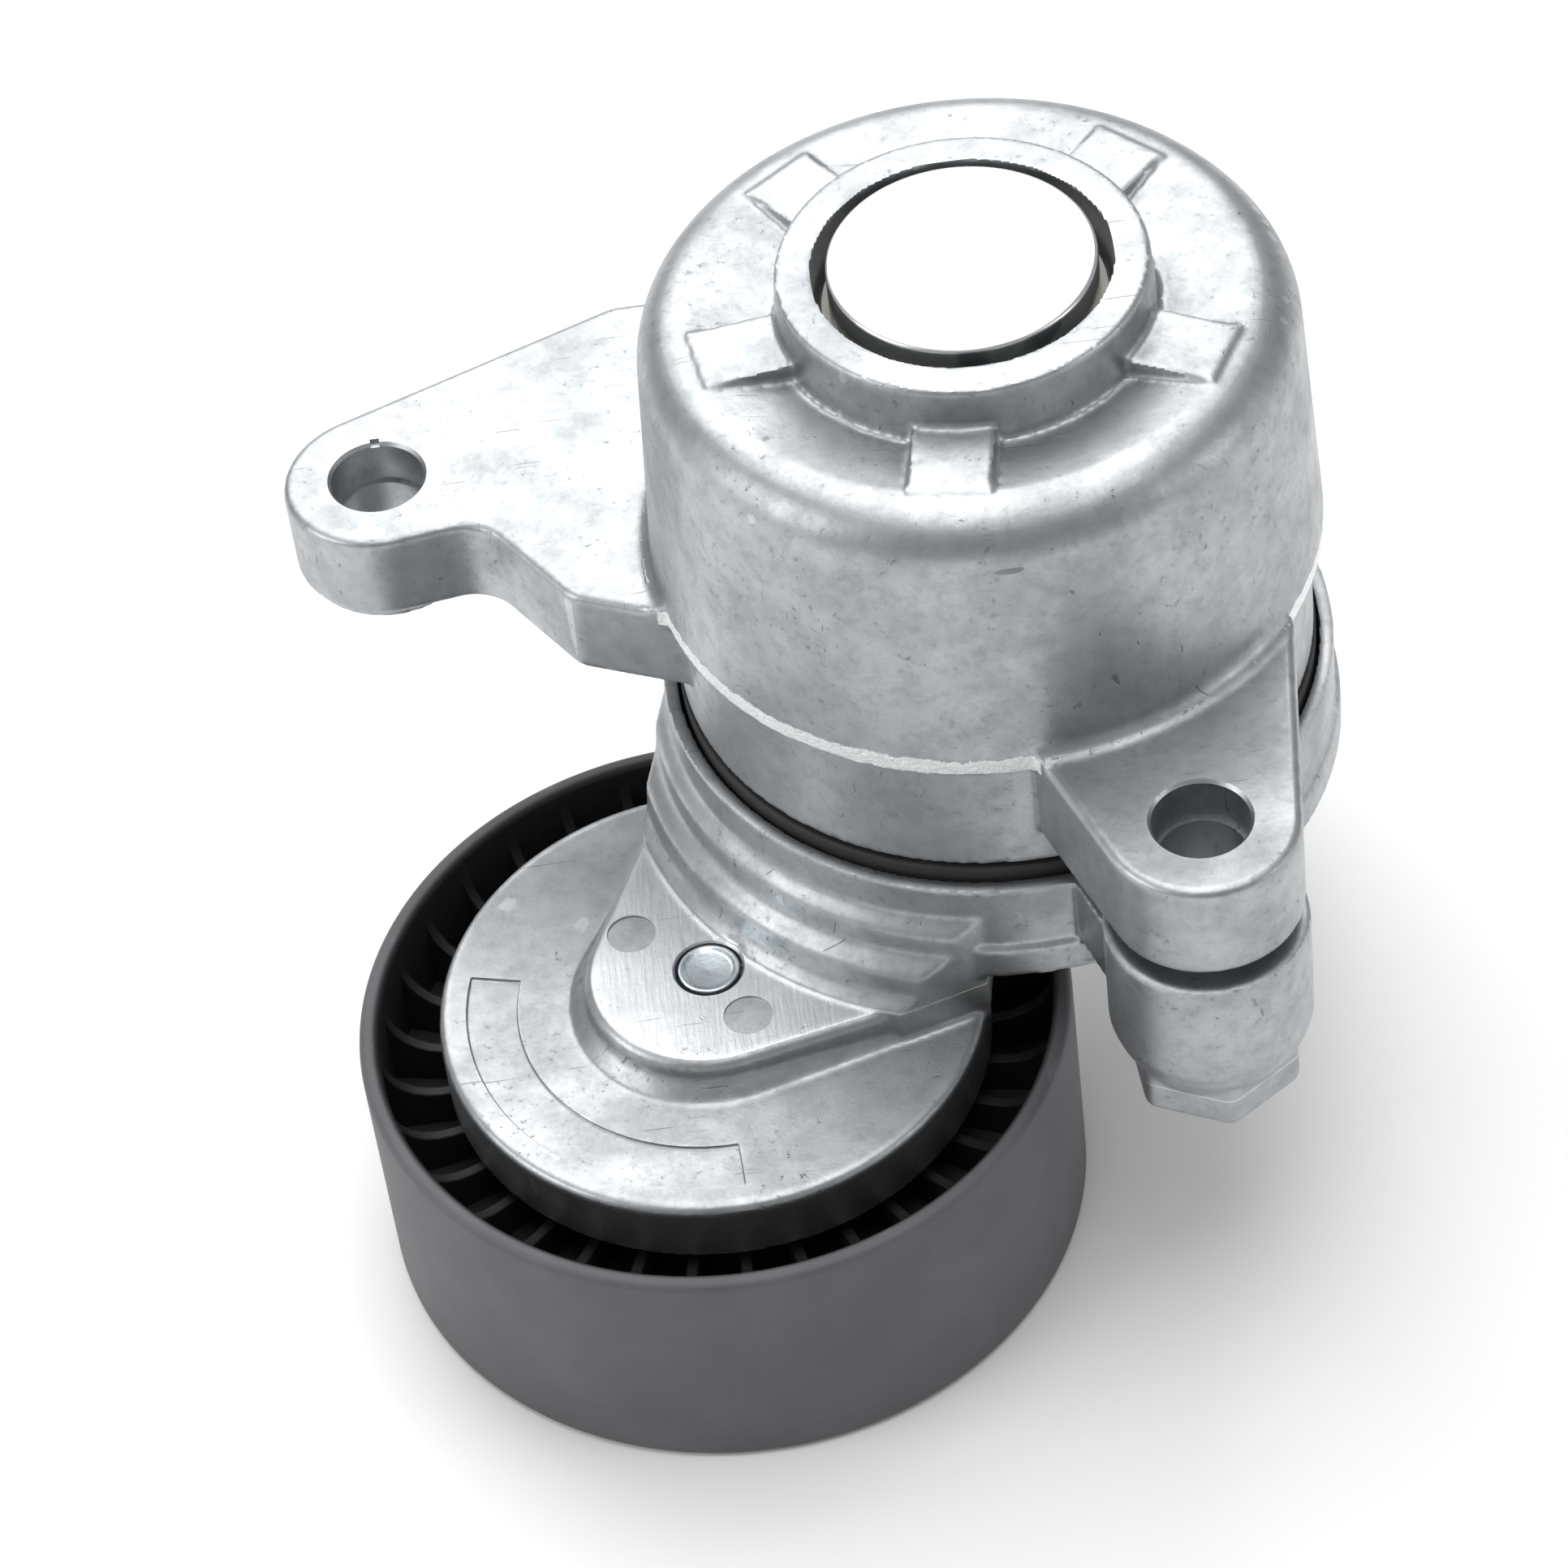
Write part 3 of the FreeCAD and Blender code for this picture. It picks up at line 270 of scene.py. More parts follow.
def carve(piece: bpy.types.Object, cutter: bpy.types.Object) -> None:
    """Cut one shape out of a piece and remove the cutter.

    Args:
        piece: What is cut.
        cutter: The shape taken away.
    """
    apply_modifier(piece, "BOOLEAN", operation="DIFFERENCE", object=cutter, solver="EXACT")
    bpy.data.objects.remove(cutter)


# ---- materials ---------------------------------------------------------------------------


def linear(hex_colour: str) -> tuple[float, float, float, float]:
    """Turn an sRGB hex colour into linear RGBA.

    Args:
        hex_colour: Six hex digits.

    Returns:
        Red, green, blue and alpha.
    """
    values = [int(hex_colour[i:i + 2], 16) / 255 for i in (0, 2, 4)]
    rgb = [v / 12.92 if v <= 0.04045 else ((v + 0.055) / 1.055) ** 2.4 for v in values]
    return (rgb[0], rgb[1], rgb[2], 1.0)


class Recipe:
    """One material being built: its node tree, its shader and its object coordinates."""

    def __init__(self, name: str) -> None:
        """Start an empty material.

        Args:
            name: The material's name.
        """
        self.material = bpy.data.materials.new(name)
        self.material.use_nodes = True
        self.tree = self.material.node_tree
        self.shader = self.tree.nodes["Principled BSDF"]
        self.place = self.add("ShaderNodeTexCoord").outputs["Object"]

    def add(self, kind: str, settings: dict | None = None, **links: object) -> bpy.types.Node:
        """Add one node.

        Args:
            kind: Blender's node type.
            settings: Attributes of the node.
            **links: Input name, or index after an underscore, to a socket or a value.

        Returns:
            The node.
        """
        node = self.tree.nodes.new(kind)
        for key, value in (settings or {}).items():
            setattr(node, key, value)
        for key, value in links.items():
            socket = node.inputs[int(key[1:])] if key[1:].isdigit() else node.inputs[key.replace("_", " ")]
            if isinstance(value, bpy.types.NodeSocket):
                self.tree.links.new(value, socket)
            else:
                socket.default_value = value
        return node

    def math(self, operation: str, *values: object) -> bpy.types.NodeSocket:
        """Add one step of arithmetic.

        Args:
            operation: Blender's name for it.
            *values: Sockets or numbers.

        Returns:
            The result.
        """
        links = {f"_{i}": value for i, value in enumerate(values)}
        return self.add("ShaderNodeMath", {"operation": operation}, **links).outputs[0]

    def noise(self, size_mm: float, detail: float = 3.0, rough: float = 0.5,
              stretch: tuple[float, float, float] = (1, 1, 1)) -> bpy.types.NodeSocket:
        """Noise whose patches are about a given size.

        Args:
            size_mm: Patch size in mm.
            detail: Octaves.
            rough: Roughness of the octaves.
            stretch: Scale along each axis.

        Returns:
            The noise value.
        """
        mapped = self.add("ShaderNodeMapping", Vector=self.place, Scale=stretch).outputs[0]
        return self.add("ShaderNodeTexNoise", Vector=mapped, Scale=1 / (size_mm * MM), Detail=detail,
                        Roughness=rough).outputs[0]

    def radius(self, centre: tuple[float, float] = (0.0, 0.0)) -> bpy.types.NodeSocket:
        """Distance from an upright axis, in metres.

        Args:
            centre: Where the axis stands, in mm.

        Returns:
            The distance.
        """
        off = self.add("ShaderNodeVectorMath", {"operation": "SUBTRACT"}, _0=self.place,
                       _1=(centre[0] * MM, centre[1] * MM, 0)).outputs[0]
        flat = self.add("ShaderNodeVectorMath", {"operation": "MULTIPLY"}, _0=off, _1=(1, 1, 0)).outputs[0]
        return self.add("ShaderNodeVectorMath", {"operation": "LENGTH"}, _0=flat).outputs["Value"]

    def ramp(self, value: bpy.types.NodeSocket, low: float, high: float) -> bpy.types.NodeSocket:
        """Map a value smoothly from low..high to 0..1.

        Args:
            value: The value.
            low: Where the result leaves 0.
            high: Where it reaches 1.

        Returns:
            The mapped value.
        """
        node = self.add("ShaderNodeMapRange", {"interpolation_type": "SMOOTHSTEP"}, Value=value)
        node.inputs["From Min"].default_value = low
        node.inputs["From Max"].default_value = high
        return node.outputs[0]

    def blend(self, factor: object, first: object, second: object) -> bpy.types.NodeSocket:
        """Mix two colours.

        Args:
            factor: 0 gives the first, 1 the second.
            first: A colour or socket.
            second: A colour or socket.

        Returns:
            The mixed colour.
        """
        node = self.add("ShaderNodeMix", {"data_type": "RGBA"}, _0=factor, _6=first, _7=second)
        return node.outputs[2]

    def bump(self, height: bpy.types.NodeSocket, depth_mm: float,
             below: bpy.types.NodeSocket | None = None) -> bpy.types.NodeSocket:
        """Add relief of a given depth.

        Args:
            height: Height from 0 to 1.
            depth_mm: Depth in mm.
            below: Normal from an earlier bump.

        Returns:
            The new normal.
        """
        node = self.add("ShaderNodeBump", Height=height, Distance=depth_mm * MM, Strength=1.0)
        if below is not None:
            self.tree.links.new(below, node.inputs["Normal"])
        return node.outputs[0]

    def wire(self, **links: object) -> None:
        """Set the shader's own sockets.

        Args:
            **links: Socket name to a value or a socket.
        """
        for key, value in links.items():
            socket = self.shader.inputs[key.replace("_", " ")]
            if isinstance(value, bpy.types.NodeSocket):
                self.tree.links.new(value, socket)
            else:
                socket.default_value = value

    def edges(self, low: float, high: float) -> bpy.types.NodeSocket:
        """Mark edges that stand out.

        Args:
            low: Pointiness where the mark begins.
            high: Pointiness where it is full.

        Returns:
            0 on flats, 1 on edges.
        """
        return self.ramp(self.add("ShaderNodeNewGeometry").outputs["Pointiness"], low, high)


@dataclass(frozen=True)
class CastAluminium:
    """Die-cast aluminium alloy, tumbled: satin grey skin, fine dark specks, scratches, edges rubbed bright."""

    name: str
    skin: str = "b7babc"
    cloud: str = "9ea1a4"
    dull: str = "8f9295"
    worn: str = "e6e8e9"
    pit: str = "6d6f71"
    torn: str = "f0f2f2"
    cloud_mm: float = 9.0
    mottle_mm: float = 1.8
    grain_mm: float = 0.45
    speck_mm: float = 0.9
    flash: tuple[float, float, float, float] | None = None
    milled: float | None = None

    def flash_mask(self, make: Recipe) -> bpy.types.NodeSocket:
        """Mark the rough band where the die's flash was trimmed off, with a ragged edge.

        Args:
            make: The material being built.

        Returns:
            1 on the band, 0 elsewhere.
        """
        low, high, inner, outer = (value * MM for value in self.flash)
        soft = 0.12 * MM
        axes = make.add("ShaderNodeSeparateXYZ", Vector=make.place)
        radius = make.radius()
        ragged = make.math("MULTIPLY", make.math("SUBTRACT", make.noise(2.2, 4, 0.65), 0.5), 1.6 * MM)
        height = make.math("ADD", axes.outputs[2], ragged)
        mask = make.math("MULTIPLY", make.ramp(height, low - soft, low + soft),
                         make.math("SUBTRACT", 1.0, make.ramp(height, high - soft, high + soft)))
        ring = make.math("MULTIPLY", make.ramp(radius, inner - soft, inner + soft),
                         make.math("SUBTRACT", 1.0, make.ramp(radius, outer - soft, outer + soft)))
        return make.math("MULTIPLY", mask, ring)

    def milled_mask(self, make: Recipe) -> bpy.types.NodeSocket:
        """Mark the faces at the milled height.

        Args:
            make: The material being built.

        Returns:
            1 on the milled faces, 0 elsewhere.
        """
        height = make.add("ShaderNodeSeparateXYZ", Vector=make.place).outputs[2]
        off = make.math("ABSOLUTE", make.math("SUBTRACT", height, self.milled * MM))
        return make.math("SUBTRACT", 1.0, make.ramp(off, 0.06 * MM, 0.16 * MM))

    def material(self) -> bpy.types.Material:
        """Build the material.

        Returns:
            The material.
        """
        make = Recipe(self.name)
        clouds = make.ramp(make.noise(self.cloud_mm, 6, 0.68), 0.32, 0.72)
        colour = make.blend(clouds, linear(self.skin), linear(self.cloud))
        mottle = make.math("MULTIPLY", make.ramp(make.noise(self.mottle_mm, 4, 0.7), 0.42, 0.68), 0.4)
        colour = make.blend(mottle, colour, linear(self.dull))
        colour = make.blend(make.math("MULTIPLY", make.edges(0.52, 0.58), 0.35), colour, linear(self.worn))
        speck = make.math("MULTIPLY", make.ramp(make.noise(self.speck_mm, 3, 0.7), 0.60, 0.74),
                          make.ramp(make.noise(8, 3), 0.42, 0.62))
        scratch = make.math("MULTIPLY", make.ramp(make.noise(1.2, 1, 0.5, (0.1, 4, 0.5)), 0.72, 0.75),
                            make.ramp(make.noise(14, 2), 0.5, 0.6))
        dark = make.math("MULTIPLY", make.math("MAXIMUM", speck, scratch), 0.7)
        colour = make.blend(dark, colour, linear(self.pit))
        grain = make.noise(self.grain_mm, 3, 0.65)
        rough = make.math("ADD", make.math("MULTIPLY", clouds, 0.10), 0.33)
        rough = make.math("ADD", rough, make.math("MULTIPLY", grain, 0.12))
        normal = make.bump(grain, 0.014)
        normal = make.bump(make.noise(5.0, 3, 0.5), 0.05, normal)
        normal = make.bump(make.math("SUBTRACT", 1.0, dark), 0.04, normal)
        if self.flash:
            torn = self.flash_mask(make)
            colour = make.blend(torn, colour, linear(self.torn))
            rough = make.math("ADD", rough, make.math("MULTIPLY", torn, 0.15))
            normal = make.bump(make.math("MULTIPLY", torn, make.noise(0.9, 4, 0.7)), 0.5, normal)
        if self.milled is not None:
            cut = self.milled_mask(make)
            streaks = make.noise(0.5, 2, 0.5, (1.2, 0.12, 1))
            colour = make.blend(make.math("MULTIPLY", cut, 0.5), colour, linear(self.worn))
            normal = make.bump(make.math("MULTIPLY", cut, streaks), 0.035, normal)
        make.wire(Base_Color=colour, Metallic=1.0, Roughness=rough, Normal=normal)
        return make.material


@dataclass(frozen=True)
class TurnedSteel:
    """Bright steel faced on a lathe: fine rings from the tool, centred on the part's axis."""

    name: str
    colour: str = "e4e6e6"
    track: str = "8b9195"
    ring_mm: float = 0.7
    depth_mm: float = 0.004
    roughness: float = 0.28
    centre: tuple[float, float] = (0.0, 0.0)

    def material(self) -> bpy.types.Material:
        """Build the material.

        Returns:
            The material.
        """
        make = Recipe(self.name)
        radius = make.radius(self.centre)
        waver = make.math("MULTIPLY", make.noise(12, 1), 0.25 * MM)
        turns = make.math("MULTIPLY", make.math("ADD", radius, waver), TURN / (self.ring_mm * MM))
        shown = make.ramp(make.noise(7, 2), 0.45, 0.62)
        rings = make.math("MULTIPLY", make.math("SINE", turns), shown)
        rough = make.math("ADD", make.math("MULTIPLY", shown, 0.06), self.roughness)
        tracks = make.math("MULTIPLY", make.ramp(rings, 0.2, 0.9), 0.8)
        colour = make.blend(tracks, linear(self.colour), linear(self.track))
        normal = make.bump(rings, self.depth_mm)
        make.wire(Base_Color=colour, Metallic=1.0, Roughness=rough, Normal=normal)
        return make.material


@dataclass(frozen=True)
class PlatedSteel:
    """Zinc-plated steel: bluish bright skin with faint cloudy crystals."""

    name: str
    colour: str = "dfe6ea"
    cloud: str = "b4bec5"
    roughness: float = 0.26

    def material(self) -> bpy.types.Material:
        """Build the material.

        Returns:
            The material.
        """
        make = Recipe(self.name)
        clouds = make.ramp(make.noise(1.4, 4), 0.35, 0.7)
        colour = make.blend(clouds, linear(self.colour), linear(self.cloud))
        rough = make.math("ADD", make.math("MULTIPLY", clouds, 0.12), self.roughness)
        normal = make.bump(make.noise(0.35, 2), 0.01)
        make.wire(Base_Color=colour, Metallic=1.0, Roughness=rough, Normal=normal)
        return make.material


@dataclass(frozen=True)
class MouldedPlastic:
    """Glass-filled polyamide: dark, satin, with a fine speckled grain and paler scuffed edges."""

    name: str
    colour: str = "504f53"
    scuffed: str = "6c6b70"
    roughness: float = 0.5
    grain_mm: float = 0.35
    grain_depth: float = 0.02
    scuff: float = 0.6
    # the next two fields: the axis and radius inside which a painted shade darkens the hollow of the rim, and that
    # painted shade's colour
    inside: tuple[float, float, float] | None = None
    painted_shade_colour: str = "1e1c1f"

    def material(self) -> bpy.types.Material:
        """Build the material.

        Returns:
            The material.
        """
        make = Recipe(self.name)
        grain = make.noise(self.grain_mm, 3, 0.65)
        drift = make.ramp(make.noise(9, 4, 0.6), 0.3, 0.75)
        speck = make.ramp(grain, 0.55, 0.75)
        tone = make.math("MULTIPLY", make.math("ADD", drift, speck), 0.25)
        worn = make.math("MULTIPLY", make.edges(0.52, 0.6), self.scuff)
        colour = make.blend(make.math("MAXIMUM", tone, worn), linear(self.colour), linear(self.scuffed))
        # painted shade: the colour turns nearly black inside the given radius, where the rim's hollow lies in shade
        if self.inside:
            x, y, reach = self.inside
            out = make.ramp(make.radius((x, y)), (reach - 0.3) * MM, (reach + 0.3) * MM)
            colour = make.blend(out, linear(self.painted_shade_colour), colour)
        rough = make.math("ADD", make.math("MULTIPLY", grain, 0.15), self.roughness)
        normal = make.bump(grain, self.grain_depth)
        make.wire(Base_Color=colour, Roughness=rough, Normal=normal, IOR=1.53)
        return make.material


# ---- sub-assemblies ----------------------------------------------------------------------

PULLEY_X, PULLEY_Y = -32.212, -25.751
PULLEY_AXIS = (PULLEY_X, PULLEY_Y)


def finish_piece(piece: bpy.types.Object, body: Body, slot: str, material: bpy.types.Material,
                 *nodes: str) -> None:
    """Dress a piece, set what it rides on and hide the CAD nodes that it stands for.

    Args:
        piece: The new piece.
        body: The body that it rides on.
        slot: Not used.
        material: Its material.
        *nodes: CAD nodes that it replaces.
    """
    piece.data.materials.clear()
    piece.data.materials.append(material)
    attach(piece, body.value)
    for node in nodes:
        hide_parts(node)
    LOG.info("%s: %d faces on %s", piece.name, len(piece.data.polygons), body.value)


def dress_nodes(material: bpy.types.Material, *nodes: str) -> None:
    """Give CAD nodes that stay visible their material.

    Args:
        material: The material.
        *nodes: Names of the nodes.
    """
    for node in nodes:
        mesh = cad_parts[node].data
        mesh.materials.clear()
        mesh.materials.append(material)


@dataclass
class SpringCase:
    """The stationary casting: cup, bush tube and two ears in one skin, with drilled bolt holes."""

    voxel: float = 0.36
    passes: int = 1
    budget: int = 190000
    holes: tuple[tuple[float, float, float], ...] = ((-58.100, 16.299, -11.0), (14.650, -42.600, -11.3))
    hole_radius: float = 4.2
    mouth_radius: float = 4.6
    mouth_depth: float = 5.0
    chamfer: float = 0.35
    filler_margin: float = 0.7
    nick: float = 0.9
    nick_offset: float = 0.3

    def hole_cutter(self, x: float, y: float, bottom: float) -> bpy.types.Object:
        """Model the shape that drills one stepped bolt hole.

        Args:
            x: The hole's place along X in mm.
            y: The hole's place along Y in mm.
            bottom: The ear's underside in mm.

        Returns:
            The cutter.
        """
        return turned("hole_cutter", [
            (0, bottom - PAST), (self.hole_radius, bottom - PAST), (self.hole_radius, -self.mouth_depth),
            (self.mouth_radius, -self.mouth_depth), (self.mouth_radius, -self.chamfer),
            (self.mouth_radius + self.chamfer, 0.05), (self.mouth_radius + self.chamfer, PAST), (0, PAST)], (x, y), 96)

    def nick_cutter(self) -> bpy.types.Object:
        """Model the small notch in the rim of the long ear's hole.

        Returns:
            The cutter.
        """
        x, y, _ = self.holes[0]
        deselect()
        rear = y + self.mouth_radius + self.nick_offset
        bpy.ops.mesh.primitive_cube_add(size=self.nick * MM, location=(x * MM, rear * MM, 0))
        notch = bpy.context.object
        notch.name = "nick_cutter"
        settle(notch)
        return notch

    def build(self, skin: bpy.types.Material) -> None:
        """Model and dress the case.

        Args:
            skin: The cast finish.
        """
        nodes = ("case_cup", "bush_tube", "long_ear", "short_ear")
        copies = [cad_copy(node, f"{node}_copy") for node in nodes]
        wide = self.mouth_radius + self.filler_margin
        for i, (x, y, bottom) in enumerate(self.holes):
            copies.append(turned(f"hole_filler_{i}", [(0, bottom), (wide, bottom), (wide, 0), (0, 0)], (x, y), 64))
        case = join(copies, "cast_spring_case")
        soften_casting(case, self.voxel, self.passes, self.budget)
        for x, y, bottom in self.holes:
            carve(case, self.hole_cutter(x, y, bottom))
        carve(case, self.nick_cutter())
        select_only(case)
        bpy.ops.object.shade_smooth_by_angle(angle=math.radians(CRISP))
        finish_piece(case, Body.CASE, "cast_aluminium", skin, *nodes)


@dataclass
class SwingArm:
    """The moving casting: skirt, steps, boss, cover disc and wrench boss."""

    voxel: float = 0.36
    passes: int = 1
    budget: int = 185000
    disc_top: float = -34.7
    plateau: float = -30.9
    pocket_radii: tuple[float, float] = (19.1, 24.2)
    pocket_angles: tuple[float, float] = (165.0, 272.5)
    pocket_depth: float = 0.35
    pocket_corner: float = 0.8
    marks: tuple[tuple[float, float, float], ...] = ((-39.304, -20.049, 0.22), (-28.951, -32.349, 0.16))
    mark_radius: float = 2.4
    mark_margin: float = 0.4
    bolt_mouth: float = 3.35
    mouth_depth: float = 1.6
    mouth_filler: float = 4.9
    mouth_chamfer: float = 0.25

    def pocket_cutter(self) -> bpy.types.Object:
        """Model the curved shallow pocket as a sector of a ring with rounded corners.

        Returns:
            The cutter.
        """
        inner, outer = self.pocket_radii
        low, high = self.disc_top - self.pocket_depth, self.disc_top + PAST
        cutter = turned("pocket_cutter", [(outer, low), (outer, high), (inner, high), (inner, low)], PULLEY_AXIS)
        centre = (PULLEY_X * MM, PULLEY_Y * MM, 0)
        open_mesh(cutter)
        for angle, side in zip(self.pocket_angles, (1, -1)):
            turn = math.radians(angle)
            bpy.ops.mesh.select_all(action="SELECT")
            bpy.ops.mesh.bisect(plane_co=centre, plane_no=(side * math.sin(turn), -side * math.cos(turn), 0),
                                use_fill=True, clear_outer=True)
        close_mesh()
        apply_modifier(cutter, "BEVEL", width=self.pocket_corner * MM, segments=3, limit_method="ANGLE",
                       angle_limit=math.radians(60), affect="EDGES")
        return cutter

    def build(self, skin: bpy.types.Material) -> None:
        """Model and dress the arm.

        Args:
            skin: The cast finish.
        """
        nodes = ("tension_arm", "wrench_boss", "pulley_cover", "bearing_spigot")
        copies = [cad_copy(node, f"{node}_copy") for node in nodes]
        inner, outer = self.pocket_radii
        copies.append(turned("pocket_filler", [
            (outer + PAST, self.disc_top - 2), (outer + PAST, self.disc_top), (inner - 2, self.disc_top),
            (inner - 2, self.disc_top - 2)], PULLEY_AXIS))
        wide = self.mark_radius + self.mark_margin
        for i, (x, y, _) in enumerate(self.marks):
            copies.append(turned(f"mark_filler_{i}", [
                (0, self.plateau - PAST), (wide, self.plateau - PAST), (wide, self.plateau), (0, self.plateau)],
                (x, y), 48))
        copies.append(turned("mouth_filler", [
            (0, self.plateau - self.mouth_depth), (self.mouth_filler, self.plateau - self.mouth_depth),
            (self.mouth_filler, self.plateau), (0, self.plateau)], PULLEY_AXIS, 64))
        arm = join(copies, "cast_swing_arm")
        soften_casting(arm, self.voxel, self.passes, self.budget)
        carve(arm, self.pocket_cutter())
        for x, y, depth in self.marks:
            carve(arm, turned("mark_cutter", [
                (0, self.plateau - depth), (self.mark_radius, self.plateau - depth),
                (self.mark_radius, self.plateau + PAST), (0, self.plateau + PAST)], (x, y), 64))
        mouth_floor = self.plateau - self.mouth_depth - 0.4
        wide = self.bolt_mouth + self.mouth_chamfer
        carve(arm, turned("mouth_cutter", [
            (0, mouth_floor), (self.bolt_mouth, mouth_floor), (self.bolt_mouth, self.plateau - 0.2),
            (wide, self.plateau + 0.05), (wide, self.plateau + PAST), (0, self.plateau + PAST)], PULLEY_AXIS, 96))
        select_only(arm)
        bpy.ops.object.shade_smooth_by_angle(angle=math.radians(CRISP))
        finish_piece(arm, Body.ARM, "cast_aluminium", skin, *nodes)


@dataclass
class PivotPin:
    """The stepped steel pin with its broad turned head."""

    radius: float = 8.0
    head_radius: float = 12.6
    head_top: float = 33.5
    seat: float = 28.72
    floor: float = -25.4
    washer_under: float = -30.6
    tail: float = 1.8

    def build(self, skin: bpy.types.Material) -> None:
        """Model and dress the pin.

        Args:
            skin: The turned finish.
        """
        pin = turned("turned_pivot_pin", rounded([
            (0, self.head_top, 0), (self.head_radius, self.head_top, 0.45), (self.head_radius, self.seat, 0.2),
            (self.radius, self.seat, 0), (self.radius, self.floor, 0), (self.radius - 2, self.floor, 0),
            (self.radius - 2, self.washer_under, 0), (self.radius + 0.4, self.washer_under, 0),
            (self.radius - 0.2, self.washer_under - self.tail, 0.7), (0, self.washer_under - self.tail, 0)]))
        finish_piece(pin, Body.ARM, "turned_steel", skin, "pivot_pin")


@dataclass
class Pulley:
    """The moulded idler pulley: rounded rim, web, hub and a row of dipping ribs on each side."""

    radius: float = 35.0
    rim_inner: float = 33.1
    hub_outer: float = 23.4
    bore: float = 20.0
    top: float = -36.2
    width: float = 26.6
    hub_half: float = 6.3
    web_half: float = 1.5
    rib_count: int = 32
    rib_half: float = 0.55
    rib_rim: float = 10.9
    rib_hub: float = 5.7

    def middle(self) -> float:
        """The height of the pulley's mid plane.

        Returns:
            The height in mm.
        """
        return self.top - self.width / 2

    def rib(self, side: int) -> bpy.types.Object:
        """Model one rib lying along +X, its free edge dipping from the rim to the hub.

        Args:
            side: 1 above the web, -1 below it.

        Returns:
            The rib.
        """
        drop = self.rib_rim - self.rib_hub
        dip_x = self.rim_inner - drop
        deselect()
        bpy.ops.mesh.primitive_plane_add(size=1)
        rib = bpy.context.object
        rib.name = "rib"
        rib.scale = (0.5 * MM, 2 * self.rib_half * MM, 1)
        x, z = self.hub_outer - 0.25, self.web_half - 0.6
        rib.location = (x * MM, 0, side * z * MM)
        settle(rib)
        open_mesh(rib)
        bpy.ops.mesh.delete(type="ONLY_FACE")
        bpy.ops.mesh.select_all(action="SELECT")
        bpy.ops.mesh.edge_face_add()
        bpy.ops.mesh.extrude_region_move(
            TRANSFORM_OT_translate={"value": (0, 0, side * (self.rib_hub - z) * MM)})
        bpy.ops.object.mode_set(mode="OBJECT")
        far = [v.index for v in rib.data.vertices if v.co.x > x * MM]
        steps = [(dip_x, self.rib_hub)]
        for i in range(1, 7):
            turn = math.pi / 2 * i / 6
            steps.append((dip_x + drop * math.sin(turn), self.rib_rim - drop * math.cos(turn)))
        steps.append((self.rim_inner + 0.3, self.rib_rim))
        last = (x + 0.25, self.rib_hub)
        select_only(rib)
        bpy.ops.object.mode_set(mode="EDIT")
        bpy.ops.mesh.select_all(action="DESELECT")
        bpy.ops.mesh.select_mode(type="FACE")
        bpy.ops.object.mode_set(mode="OBJECT")
        for face in rib.data.polygons:
            face.select = all(i in far for i in face.vertices)
        bpy.ops.object.mode_set(mode="EDIT")
        for step_x, step_z in steps:
            bpy.ops.mesh.extrude_region_move(
                TRANSFORM_OT_translate={"value": ((step_x - last[0]) * MM, 0, 0)})
            base = side * z * MM
            grow = (step_z - z) / (last[1] - z)
            bpy.ops.transform.resize(value=(1, 1, grow), center_override=(step_x * MM, 0, base))
            last = (step_x, step_z)
        bpy.ops.mesh.select_mode(type="VERT")
        close_mesh(40)
        apply_modifier(rib, "BEVEL", width=0.14 * MM, segments=2, limit_method="ANGLE",
                       angle_limit=math.radians(60))
        return rib

    def build(self, skin: bpy.types.Material) -> None:
        """Model and dress the pulley.

        Args:
            skin: The moulded finish.
        """
        middle, half = self.middle(), self.width / 2
        parts = [
            turned("pulley_rim_turned", rounded([
                (self.radius, middle - half, 0.8), (self.radius, middle + half, 0.8),
                (self.rim_inner, middle + half, 0.7), (self.rim_inner, middle - half, 0.7)], 5), PULLEY_AXIS, 256),
            turned("pulley_web_turned", [
                (self.rim_inner + 0.3, middle - self.web_half), (self.rim_inner + 0.3, middle + self.web_half),
                (self.hub_outer - 0.3, middle + self.web_half), (self.hub_outer - 0.3, middle - self.web_half)],
                PULLEY_AXIS),
            turned("pulley_hub_turned", rounded([
                (self.hub_outer, middle - self.hub_half, 0.4), (self.hub_outer, middle + self.hub_half, 0.4),
                (self.bore, middle + self.hub_half, 0), (self.bore, middle - self.hub_half, 0)]), PULLEY_AXIS),
        ]
        for side in (1, -1):
            first = self.rib(side)
            for i in range(self.rib_count):
                copy = first.copy()
                copy.data = first.data.copy()
                bpy.context.scene.collection.objects.link(copy)
                copy.rotation_euler = (0, 0, TURN * i / self.rib_count)
                copy.location = (PULLEY_X * MM, PULLEY_Y * MM, middle * MM)
                settle(copy)
                parts.append(copy)
            bpy.data.objects.remove(first)
        pulley = join(parts, "moulded_pulley")
        finish_piece(pulley, Body.PULLEY, "pulley_polyamide", skin, "pulley_rim", "pulley_web", "pulley_hub")


